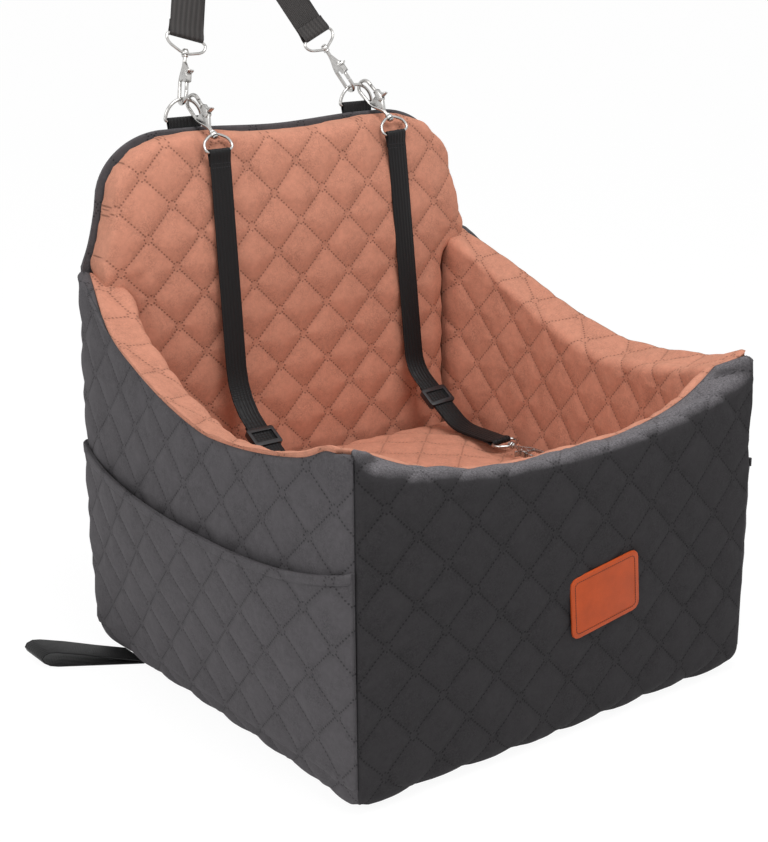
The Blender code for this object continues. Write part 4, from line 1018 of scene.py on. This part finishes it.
def tube(points, radius, quarter, cyclic=False):
    """A round wire along points, as a closed mesh."""
    curve = curve_of("wire", [points])
    curve.bevel_depth = radius
    curve.bevel_resolution = quarter
    curve.use_fill_caps = not cyclic
    curve.splines[0].use_cyclic_u = cyclic
    return applied(placed("wire", curve))


def smoothed(points, rounds):
    """Cut the corners of a path of points."""
    for _ in range(rounds):
        result = [points[0]]
        for first, second in zip(points, points[1:]):
            first, second = Vector(first), Vector(second)
            result += [first.lerp(second, 0.25), first.lerp(second, 0.75)]
        points = result + [points[-1]]
    return points


def turned(profile, segments=24):
    """A turned shape about Z from radii and heights."""
    bm = bmesh.new()
    spots = [bm.verts.new((r, 0, z)) for r, z in profile]
    edges = [bm.edges.new(pair) for pair in zip(spots, spots[1:])]
    bmesh.ops.spin(bm, geom=spots + edges, cent=(0, 0, 0), axis=(0, 0, 1), angle=math.tau,
                   steps=segments, use_merge=True, use_duplicate=False)
    bmesh.ops.remove_doubles(bm, verts=bm.verts, dist=MERGE_REACH / 2)
    outward(bm)
    return mesh_from(bm, "turned")


def slab(outline, thickness, round_edge):
    """A flat plate in the XZ plane with rounded edges."""
    bm = bmesh.new()
    spots = [bm.verts.new((x, -thickness / 2, z)) for x, z in outline]
    face = bm.faces.new(spots)
    grown = bmesh.ops.extrude_face_region(bm, geom=[face])
    for vert in grown["geom"]:
        if isinstance(vert, bmesh.types.BMVert):
            vert.co.y += thickness
    outward(bm)
    bmesh.ops.bevel(bm, geom=list(bm.edges), offset=round_edge, segments=2, affect="EDGES",
                    profile=0.5)
    return mesh_from(bm, "slab")


def joined(meshes, name):
    """Several meshes as one."""
    bm = bmesh.new()
    for mesh, place in meshes:
        start = len(bm.verts)
        bm.from_mesh(mesh)
        bm.verts.ensure_lookup_table()
        bmesh.ops.transform(bm, matrix=place, verts=bm.verts[start:])
    return mesh_from(bm, name)


def across_y(x, z):
    return Matrix.Translation((x, 0, z)) @ Matrix.Rotation(math.pi / 2, 4, "X")


def hook_meshes(quarter):
    """A snap hook's body, and its gate about the pivot."""
    here = Matrix()
    spine = EYE_RADIUS + HOOK_ROD
    eye = WIRE_SEAT - HOOK_REACH
    neck = -SHANK - NECK
    line = [(0, 0, -0.002), (0, 0, -SHANK), (spine, 0, neck), (spine, 0, eye)]
    bow = [(x, 0, z) for x, z in arc((0, eye), spine, 0, -math.pi, 14)]
    path = smoothed(line[:3] + [(spine, 0, (neck + eye) / 2)], 2) + bow
    path += [(-spine, 0, eye + TIP_RISE)]
    rim = [(0, -0.0003), (0.0030, -0.0003), (0.0034, -0.0008), (0.0034, -0.0017),
           (0.0026, -0.0024), (0, -0.0024)]
    head = [(0, COLLAR_HEIGHT + 0.0003), (0.0026, COLLAR_HEIGHT + 0.0003),
            (0.0032, COLLAR_HEIGHT + 0.0009), (0.0026, COLLAR_HEIGHT + 0.0020),
            (0.0010, COLLAR_HEIGHT + 0.0024), (0, COLLAR_HEIGHT + 0.0025)]
    lug = [(0.0018, -0.0075), (-0.0018, -0.0075), (-0.0090, -0.0180), (-0.0090, -0.0205),
           (-0.0053, -0.0265), (spine, -0.0265), (spine, neck), (0.0022, -SHANK)]
    pin = [(0, -0.0034), (0.0016, -0.0034), (0.0020, -0.0030), (0.0020, 0.0030),
           (0.0016, 0.0034), (0, 0.0034)]
    stem = [(0, -0.001), (0.0017, -0.001), (0.0017, 0.0045), (0, 0.0045)]
    body = joined([
        (tube(path, HOOK_ROD, quarter), here), (turned(rim), here), (turned(head), here),
        (turned(stem), here), (slab(lug, LUG, 0.0006), here),
        (turned(pin), across_y(-PIVOT_OUT, -PIVOT_DROP))], "hook")
    rise = eye + TIP_RISE + 0.0003 + PIVOT_DROP
    cheek = arc((0, 0), 0.0034, 0, math.pi, 9)
    cheek += [(-0.0042, -0.0026), (-0.0042, -0.0100), (0.0010, -0.0100)]
    shift = LUG / 2 + GATE_PLATE / 2 + GATE_PLAY
    thumb = [(-0.0030, 0.0008), (-0.0092, 0.0010), (-0.0094, -0.0006), (-0.0042, -0.0026)]
    bar = [(0.0007, -0.0090), (0.0007, rise), (-0.0024, rise), (-0.0024, -0.0090)]
    bridge = [(-0.0030, -0.0082), (-0.0042, -0.0082), (-0.0042, -0.0100), (0.0010, -0.0100),
              (0.0010, -0.0082)]
    web = [(-0.0030, 0.0006), (-0.0042, 0.0006), (-0.0042, -0.0100), (-0.0030, -0.0100)]
    gate = joined([
        (slab(cheek, GATE_PLATE, 0.0002), Matrix.Translation((0, shift, 0))),
        (slab(cheek, GATE_PLATE, 0.0002), Matrix.Translation((0, -shift, 0))),
        (slab(thumb, 0.0062, 0.0004), here), (slab(bar, 0.0034, 0.0007), here),
        (slab(bridge, 0.0064, 0.0003), here), (slab(web, 0.0064, 0.0003), here)], "gate")
    return body, gate


def hook_frame(name):
    """A hook's own axes, from its swivel and its gate's hinge."""
    swivel = JOINTS[f"{name}_swivel"]
    pivot = Vector(JOINTS[f"{name}_gate_hinge"]["pos_m"])
    origin = Vector(swivel["pos_m"])
    z = Vector(swivel["axis"]).normalized()
    if name.endswith("lower"):
        z = Vector((0, 1, 0))
    x = -(pivot - origin + z * PIVOT_DROP).normalized()
    x = (x - z * x.dot(z)).normalized()
    return axes_frame(x, z, origin)


def copied(mesh, name, place):
    result = mesh.copy()
    result.name = name
    result.transform(place)
    return result


def bail_mesh(node, hook, quarter):
    """A bail's wire and collar, as wide and as high as its solid."""
    origin = hook @ Vector((0, 0, COLLAR_HEIGHT / 2))
    points = [Vector(point) for point in coordinates(merged_copy(node, "reading"))]
    far = max((point - origin).length for point in points)
    ends = [point for point in points if (point - origin).length > far - BAIL_END]
    left = min(ends, key=lambda point: (point - ends[0]).length)
    right = max(ends, key=lambda point: (point - ends[0]).length)
    across = (right - left).normalized()
    middle = sum(ends, Vector()) / len(ends)
    toward = middle - origin
    toward = (toward - across * toward.dot(across)).normalized()
    wide = max(abs((point - origin).dot(across)) for point in points) - BAIL_ROD
    high = max((point - origin).dot(toward) for point in points) - BAIL_ROD
    half = [(0.0035, 0, 0.0), (0.0065, 0, 0.0006), (wide, 0, 0.0068), (wide, 0, high)]
    path = smoothed(half + [(-x, y, z) for x, y, z in reversed(half)], 3)
    collar = [(0.0021, 0), (0.0036, 0), (0.0040, 0.0005), (0.0040, 0.0035), (0.0036, 0.0040),
              (0.0021, 0.0040), (0.0021, 0)]
    return joined([(tube(path, BAIL_ROD, quarter), axes_frame(across, toward, origin)),
                   (turned(collar), hook)], "bail")


def ring_mesh(quarter):
    """A D-ring, its flat side down."""
    centre = (RING_CORNER_X, RING_CORNER)
    outline = arc(centre, RING_CORNER, -math.pi / 2, 0, 5)
    outline += arc((0, 0), RING_ARC, RING_ARC_END, math.pi - RING_ARC_END, 32)
    outline += [(-x, z) for x, z in arc(centre, RING_CORNER, 0, -math.pi / 2, 5)]
    return tube([(x, 0, z) for x, z in outline], RING_ROD, quarter, cyclic=True)


# Webbing

def webbing_piece(node, name, finish, across, lengthwise):
    """Webbing with rounded edges, whose weave follows the given directions."""
    mesh = merged_copy(node, name)
    edit_mesh(mesh, lambda bm: bmesh.ops.join_triangles(
        bm, faces=bm.faces, angle_face_threshold=0.3, angle_shape_threshold=3.1))
    mesh = bevelled(mesh, THIN_EDGE, 2, angle_limit=EDGE_ANGLE)
    points = coordinates(mesh)
    map_cloth(mesh, np.stack((across(points), lengthwise(points)), 1))
    new_object(name, mesh, finish, node, sharp=True)


# Stitches

def stitch_tree(finish):
    """Stitches set along every spline of the object that carries the tree."""
    tree = bpy.data.node_groups.new("stitch_row", "GeometryNodeTree")
    face = tree.interface
    face.new_socket("Geometry", in_out="INPUT", socket_type="NodeSocketGeometry")
    for name in ("Pitch", "Length", "Thread"):
        face.new_socket(name, in_out="INPUT", socket_type="NodeSocketFloat")
    face.new_socket("Geometry", in_out="OUTPUT", socket_type="NodeSocketGeometry")
    nodes = tree.nodes
    source = nodes.new("NodeGroupInput")
    result = nodes.new("NodeGroupOutput")
    points = nodes.new("GeometryNodeCurveToPoints")
    points.mode = "LENGTH"
    stitch = nodes.new("GeometryNodeMeshCylinder")
    stitch.inputs["Vertices"].default_value = 6
    place = nodes.new("GeometryNodeInstanceOnPoints")
    turn = nodes.new("FunctionNodeAlignRotationToVector")
    turn.axis = "Z"
    tangent = nodes.new("GeometryNodeInputTangent")
    keep = nodes.new("GeometryNodeCaptureAttribute")
    keep.capture_items.new("VECTOR", "tangent")
    real = nodes.new("GeometryNodeRealizeInstances")
    coat = nodes.new("GeometryNodeSetMaterial")
    coat.inputs["Material"].default_value = FINISHES[finish]
    for start, leaving, end, entering in (
            (source, "Geometry", keep, "Geometry"), (tangent, 0, keep, 1),
            (keep, "Geometry", points, "Curve"), (source, "Pitch", points, "Length"),
            (points, "Points", place, "Points"), (source, "Length", stitch, "Depth"),
            (source, "Thread", stitch, "Radius"), (stitch, "Mesh", place, "Instance"),
            (keep, 1, turn, "Vector"), (turn, "Rotation", place, "Rotation"),
            (place, "Instances", real, "Geometry"), (real, "Geometry", coat, "Geometry"),
            (coat, "Geometry", result, "Geometry")):
        tree.links.new(start.outputs[leaving], end.inputs[entering])
    return tree


def stitches(name, rows, finish, web, size):
    """Rows of stitches as one plain mesh."""
    guide = placed(name, curve_of(name, [row for row in rows if len(row) > 1]))
    step = guide.modifiers.new("stitches", "NODES")
    step.node_group = stitch_tree(finish)
    values = (web.stitch_pitch * size, web.stitch_length * size, web.stitch_radius)
    sockets = [item for item in step.node_group.interface.items_tree
               if item.in_out == "INPUT" and item.name != "Geometry"]
    for socket, value in zip(sockets, values):
        step[socket.identifier] = value
    new_object(name, applied(guide), finish)


def on_surface(tree, points, direction):
    """Points dropped on a surface along a direction, and lifted a little off it."""
    way = Vector(direction)
    result = []
    for point in points:
        hit = tree.ray_cast(Vector(point) - way * DROP_RISE, way, DROP_REACH)
        if hit[0] is not None:
            result.append(hit[0] - way * THREAD_LIFT)
    return result


def surface_tree(thing):
    graph = bpy.context.evaluated_depsgraph_get()
    bm = bmesh.new()
    bm.from_object(thing, graph)
    tree = BVHTree.FromBMesh(bm)
    bm.free()
    return tree


# Operators

class CoversOperator(bpy.types.Operator):
    """Sew the outer covers round the box"""

    bl_idname = "car_seat.covers"
    bl_label = "Outer covers"

    def execute(self, context):
        cloth = context.scene.seat_cloth
        # The front cover takes the darker, painted-shade copy of the grey cloth.
        sewn_panel("front_cover", "outer_front_panel", FRONT, front_cover_path, "grey_shaded_front",
                   cloth, 1)
        sewn_panel("back_cover", "outer_back_panel", REAR, back_cover_path, "grey", cloth, 4,
                   0.6)
        for seed, (name, side) in enumerate(SIDES.items()):
            sewn_panel(f"{name}_cover", f"outer_{name}_panel", side, side_cover_path, "grey",
                       cloth, 7 + 3 * seed)
        return {"FINISHED"}


class LiningsOperator(bpy.types.Operator):
    """Line the walls inside"""

    bl_idname = "car_seat.linings"
    bl_label = "Linings"

    def execute(self, context):
        cloth = context.scene.seat_cloth
        sewn_panel("front_lining", "front_liner", FRONT, front_lining_path, "terracotta", cloth,
                   21, 0.7)
        for seed, (name, side) in enumerate(SIDES.items()):
            sewn_panel(f"{name}_lining", f"{name}_liner", side, side_lining_path, "terracotta",
                       cloth, 24 + 3 * seed, 0.8)
        return {"FINISHED"}


class CushionsOperator(bpy.types.Operator):
    """Stuff and quilt the backrest and the seat cushion"""

    bl_idname = "car_seat.cushions"
    bl_label = "Cushions"

    def execute(self, context):
        cloth = context.scene.seat_cloth
        stuffed("backrest_cushion", "backrest_pad", 0.004, cloth, ((1, 0, 0), (0, 0, 1)),
                (0, -1, 0), 31)
        stuffed("seat_pad", "seat_cushion", 0.006, cloth, ((1, 0, 0), (0, 1, 0)), (0, 0, 1), 34)
        return {"FINISHED"}


class PocketsOperator(bpy.types.Operator):
    """Sew the side pockets on"""

    bl_idname = "car_seat.pockets"
    bl_label = "Pockets"

    def execute(self, context):
        cloth = context.scene.seat_cloth
        for seed, (name, side) in enumerate(SIDES.items()):
            sewn_panel(f"{name}_pocket_cloth", f"{name}_pocket", side, pocket_path, "grey",
                       cloth, 41 + 3 * seed, 0.6)
            self.hem(name, side, cloth)
        return {"FINISHED"}

    def hem(self, name, side, cloth):
        """The folded edge of the pocket, a little proud of it."""
        def path(share):
            top = pocket_top(share)
            line = [spot for spot in pocket_path(share) if spot[1] > top - HEM_DEPTH]
            over = [(out - HEM_PROUD, z) for out, z in line]
            return over + [(over[-1][0], top + HEM_RISE), (line[-1][0] + CLOTH, top + HEM_RISE)]
        base, uv = side.grid(shares_of(side, cloth.grid), path, HEM_STEP)
        base = rounded_corner(base)
        normal = grid_normals(base)
        if normal[base.shape[0] // 2, 1] @ side.inward > 0:
            normal = -normal
        ripple = grid_noise(base, HEM_RIPPLES, 61, 2)[..., None] * 0.0007
        mesh = grid_mesh(f"{name}_hem", base + normal * ripple, base - normal * HEM_PROUD, uv)
        hem = new_object(f"{name}_hem", mesh, "grey", f"{name}_pocket_binding")


class WebbingOperator(bpy.types.Operator):
    """Lay the straps, tabs and loop"""

    bl_idname = "car_seat.webbing"
    bl_label = "Webbing"

    def execute(self, context):
        for side, (centre, roll) in TETHER_LINES.items():
            self.tether(side, centre, roll)
            webbing_piece(f"{side}_ring_tab", f"{side}_tab", "webbing", lambda p: p[:, 0],
                          lambda p: p[:, 2] + p[:, 1])
        webbing_piece("headrest_strap", "upper_strap", "ribbed", self.strap_across,
                      lambda p: p[:, 2])
        webbing_piece("rear_anchor_loop", "rear_loop", "webbing",
                      lambda p: p[:, 1] + p[:, 0] * LOOP_LEAN, lambda p: p[:, 0])
        return {"FINISHED"}

    def tether(self, side, centre, roll):
        def across(points):
            turned_x = (points[:, 0] - centre) * math.cos(roll)
            return turned_x + (points[:, 2] - TETHER_MIDDLE) * math.sin(roll)
        webbing_piece(f"{side}_tether_strap", f"{side}_tether", "webbing", across,
                      lambda p: p[:, 2] - p[:, 1])

    def strap_across(self, points):
        left, right = (points @ np.array(leg) for leg in STRAP_LEGS)
        return np.where(points[:, 0] < STRAP_LEGS_MEET, left, right)


class HardwareOperator(bpy.types.Operator):
    """Make the snap hooks, bails, rings and adjusters"""

    bl_idname = "car_seat.hardware"
    bl_label = "Hooks and rings"

    def execute(self, context):
        quarter = context.scene.seat_hardware.roundness
        body, gate = hook_meshes(quarter)
        for side in ("left", "right"):
            for place in ("head", "upper", "lower"):
                name = f"{side}_{place}"
                lie = hook_frame(name)
                pivot = lie @ Matrix.Translation((-PIVOT_OUT, 0, -PIVOT_DROP))
                new_object(f"{name}_snap", copied(body, f"{name}_snap", lie), "nickel",
                           f"{name}_hook", f"{name}_hook", sharp=True)
                new_object(f"{name}_latch", copied(gate, f"{name}_latch", pivot), "nickel",
                           f"{name}_gate", f"{name}_gate", sharp=True)
                new_object(f"{name}_wire", bail_mesh(f"{name}_bail", lie, quarter), "nickel",
                           f"{name}_bail", sharp=True)
            ring = JOINTS[f"{side}_ring_hinge"]["pos_m"]
            mesh = copied(ring_mesh(quarter), f"{side}_ring", Matrix.Translation(ring))
            new_object(f"{side}_ring_wire", mesh, "nickel", f"{side}_d_ring", f"{side}_ring",
                       sharp=True)
            slide = merged_copy(f"{side}_tether_adjuster", f"{side}_slide")
            new_object(f"{side}_slide", bevelled(slide, THIN_EDGE, 2), "plastic",
                       f"{side}_tether_adjuster", f"{side}_adjuster", sharp=True)
        return {"FINISHED"}


class PatchOperator(bpy.types.Operator):
    """Sew the bare patch on the front"""

    bl_idname = "car_seat.patch"
    bl_label = "Patch"

    def execute(self, context):
        mesh = merged_copy("leather_patch", "bare_patch")
        edit_mesh(mesh, lambda bm: bmesh.ops.dissolve_limit(
            bm, angle_limit=0.02, verts=bm.verts, edges=bm.edges))
        mesh = bevelled(mesh, PATCH_EDGE, 3, angle_limit=EDGE_ANGLE)
        points = coordinates(mesh)
        middle = points.mean(axis=0)
        _, _, axes = np.linalg.svd(points - middle, full_matrices=False)
        across, up, out = axes
        across = across * np.sign(across[0])
        up = up * np.sign(up[2])
        out = out * -np.sign(out[1])
        turn = np.array(Matrix.Rotation(PATCH_TURN, 3, Vector(out)))
        points = (points - middle) @ turn.T + middle
        across, up = turn @ across, turn @ up
        set_coordinates(mesh, points)
        new_object("bare_patch", mesh, "leather", "leather_patch", sharp=True)
        reach = np.abs((points - middle) @ np.stack((across, up, out), 1)).max(axis=0)
        wide, high = reach[:2] - PATCH_SEAM - PATCH_SEAM_CORNER
        line = []
        for k, (sx, sy) in enumerate(((1, 1), (-1, 1), (-1, -1), (1, -1))):
            line += arc((sx * wide, sy * high), PATCH_SEAM_CORNER, k * math.pi / 2,
                        (k + 1) * math.pi / 2, 6)
        line.append(line[0])
        row = [middle + across * x + up * y + out * (reach[2] + THREAD_LIFT) for x, y in line]
        stitches("patch_stitches", [row], "patch_thread", context.scene.seat_webbing, 0.75)
        return {"FINISHED"}


class StitchesOperator(bpy.types.Operator):
    """Sew the tabs and straps"""

    bl_idname = "car_seat.stitches"
    bl_label = "Stitches"

    def execute(self, context):
        web = context.scene.seat_webbing
        for side, (x, _) in TETHER_LINES.items():
            rows = [[(x + share * TETHER_SEAM_HALF, SEAM_FRONT_Y, z)
                     for share in np.linspace(-1, 1, 9)] for z in TETHER_ROWS]
            self.sew(f"{side}_tether", rows, (0, 1, 0), web, 0.7)
            low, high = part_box(f"{side}_ring_tab")
            left, right = low[0] + TAB_SEAM, high[0] - TAB_SEAM
            foot_z, top_z = low[2] + TAB_SEAM, low[2] + TAB_SEAM_TOP
            corners = [Vector((x, SEAM_REAR_Y, z)) for x, z in
                       ((left, foot_z), (right, foot_z), (right, top_z), (left, top_z))]
            rows = [[corners[a].lerp(corners[b], share) for share in np.linspace(0, 1, 12)]
                    for a, b in ((0, 1), (1, 2), (2, 3), (3, 0), (0, 2), (1, 3))]
            self.sew(f"{side}_tab", rows, (0, -1, 0), web, 0.8)
        return {"FINISHED"}

    def sew(self, name, rows, direction, web, size):
        """Drop rows of points on a piece and stitch along them."""
        tree = surface_tree(bpy.data.objects[name])
        rows = [on_surface(tree, row, direction) for row in rows]
        stitches(f"{name}_stitches", rows, "black_thread", web, size)


class InsidesOperator(bpy.types.Operator):
    """Give the foam boards and the base their finish"""

    bl_idname = "car_seat.insides"
    bl_label = "Foam and base"

    def execute(self, context):
        for name in ("front", "left", "right", "back", "booster"):
            mesh = merged_copy(f"{name}_foam", f"{name}_board")
            points = rounded_corner(coordinates(mesh), FOAM_CORNER)
            off = np.hypot(np.abs(points[:, 0]) - WIDTH / 2, points[:, 1] + DEPTH / 2)
            sink = FOAM_SINK * smooth(1 - off / FOAM_SINK_REACH)
            points[:, 2] -= np.where(points[:, 2] > BULGE_HEIGHT, sink, 0)
            set_coordinates(mesh, points)
            board = new_object(f"{name}_board", mesh, "foam", f"{name}_foam", sharp=True)
        mesh = frame["nodes"]["bottom_panel"].data
        for k in range(len(mesh.materials)):
            mesh.materials[k] = FINISHES["base"]
        return {"FINISHED"}


class StageOperator(bpy.types.Operator):
    """Set the camera, the floor and the light"""

    bl_idname = "car_seat.stage"
    bl_label = "Stage"

    def execute(self, context):
        stage = context.scene.seat_stage
        self.camera(context.scene, stage)
        self.floor()
        self.surroundings(context.scene, stage)
        for name, place, size in LAMPS:
            self.lamp(name, place, size, getattr(stage, f"{name}_power"))
        context.scene.view_settings.view_transform = "Standard"
        return {"FINISHED"}

    def camera(self, scene, stage):
        data = bpy.data.cameras.new("photo_camera")
        data.lens = stage.lens
        data.sensor_width = SENSOR_WIDTH
        camera = placed("photo_camera", data)
        level = math.cos(CAMERA_DIP)
        ahead = Vector((math.sin(CAMERA_TURN) * level, math.cos(CAMERA_TURN) * level,
                        -math.sin(CAMERA_DIP)))
        roll = Quaternion((0, 0, 1), CAMERA_ROLL)
        camera.location = CAMERA_PLACE
        camera.rotation_euler = (ahead.to_track_quat("-Z", "Y") @ roll).to_euler()
        scene.camera = camera

    def floor(self):
        bm = bmesh.new()
        bmesh.ops.create_grid(bm, x_segments=1, y_segments=1, size=FLOOR_REACH)
        mesh = mesh_from(bm, "floor")
        material = bpy.data.materials.new("pale_floor")
        material.use_nodes = True
        tree = material.node_tree
        shader = tree.nodes["Principled BSDF"]
        shader.inputs["Base Color"].default_value = FLOOR_COLOUR
        shader.inputs["Roughness"].default_value = FLOOR_ROUGHNESS
        shader.inputs["Specular IOR Level"].default_value = 0.0
        glow = tree.nodes.new("ShaderNodeEmission")
        glow.inputs["Color"].default_value = WHITE
        glow.inputs["Strength"].default_value = GLOW_STRENGTH
        part = tree.nodes.new("ShaderNodeMath")
        part.operation = "MULTIPLY"
        part.inputs[1].default_value = FLOOR_GLOW
        tree.links.new(self.seen_directly(tree), part.inputs[0])
        self.mixed(tree, part.outputs[0], shader, glow, tree.nodes["Material Output"])
        mesh.materials.append(material)
        floor = placed("floor", mesh)
        floor.location = (0, 0, -FLOOR_DROP)

    def seen_directly(self, tree):
        """1 for what the camera sees by itself, or in metal or through glass."""
        path = tree.nodes.new("ShaderNodeLightPath")
        value = path.outputs["Is Camera Ray"]
        for name in ("Is Glossy Ray", "Is Transmission Ray"):
            either = tree.nodes.new("ShaderNodeMath")
            either.operation = "MAXIMUM"
            tree.links.new(value, either.inputs[0])
            tree.links.new(path.outputs[name], either.inputs[1])
            value = either.outputs[0]
        return value

    def mixed(self, tree, factor, first, second, out):
        mix = tree.nodes.new("ShaderNodeMixShader")
        tree.links.new(factor, mix.inputs["Fac"])
        tree.links.new(first.outputs[0], mix.inputs[1])
        tree.links.new(second.outputs[0], mix.inputs[2])
        tree.links.new(mix.outputs[0], out.inputs["Surface"])

    def surroundings(self, scene, stage):
        world = bpy.data.worlds.new("studio")
        world.use_nodes = True
        tree = world.node_tree
        even = tree.nodes["Background"]
        even.inputs["Color"].default_value = WHITE
        even.inputs["Strength"].default_value = stage.world_strength
        white = tree.nodes.new("ShaderNodeBackground")
        white.inputs["Color"].default_value = WHITE
        white.inputs["Strength"].default_value = 1.0
        self.mixed(tree, self.seen_directly(tree), even, white, tree.nodes["World Output"])
        scene.world = world

    def lamp(self, name, place, size, power):
        data = bpy.data.lights.new(name, "AREA")
        data.shape = "DISK"
        data.size = size
        data.energy = power
        lamp = placed(name, data)
        lamp.location = place
        aim = Vector(LAMP_AIM) - Vector(place)
        lamp.rotation_euler = aim.to_track_quat("-Z", "Y").to_euler()


class CarSeatPanel(bpy.types.Panel):
    """Lists the steps that build the seat, and their settings"""

    bl_idname = "VIEW3D_PT_car_seat"
    bl_label = "Dog Car Seat"
    bl_space_type = "VIEW_3D"
    bl_region_type = "UI"
    bl_category = "Car Seat"

    def draw(self, context):
        for operator in OPERATORS:
            self.layout.operator(operator.bl_idname)
        for name in SETTINGS:
            group = getattr(context.scene, name)
            box = self.layout.box()
            for key in group.__annotations__:
                box.prop(group, key)


SETTINGS = {"seat_cloth": ClothSettings, "seat_webbing": WebbingSettings,
            "seat_hardware": HardwareSettings, "seat_stage": StageSettings}
OPERATORS = (CoversOperator, LiningsOperator, CushionsOperator, PocketsOperator,
             WebbingOperator, HardwareOperator, PatchOperator, StitchesOperator,
             InsidesOperator, StageOperator)


def register():
    for group in SETTINGS.values():
        bpy.utils.register_class(group)
    for operator in OPERATORS:
        bpy.utils.register_class(operator)
    bpy.utils.register_class(CarSeatPanel)
    for name, group in SETTINGS.items():
        setattr(bpy.types.Scene, name, PointerProperty(type=group))


def unregister():
    for name in SETTINGS:
        delattr(bpy.types.Scene, name)
    bpy.utils.unregister_class(CarSeatPanel)
    for operator in reversed(OPERATORS):
        bpy.utils.unregister_class(operator)
    for group in reversed(SETTINGS.values()):
        bpy.utils.unregister_class(group)


def main():
    register()
    make_finishes(bpy.context.scene)
    for step in ("covers", "linings", "cushions", "pockets", "webbing", "hardware", "patch",
                 "stitches", "insides", "stage"):
        getattr(bpy.ops.car_seat, step)()


if __name__ == "__main__":
    main()
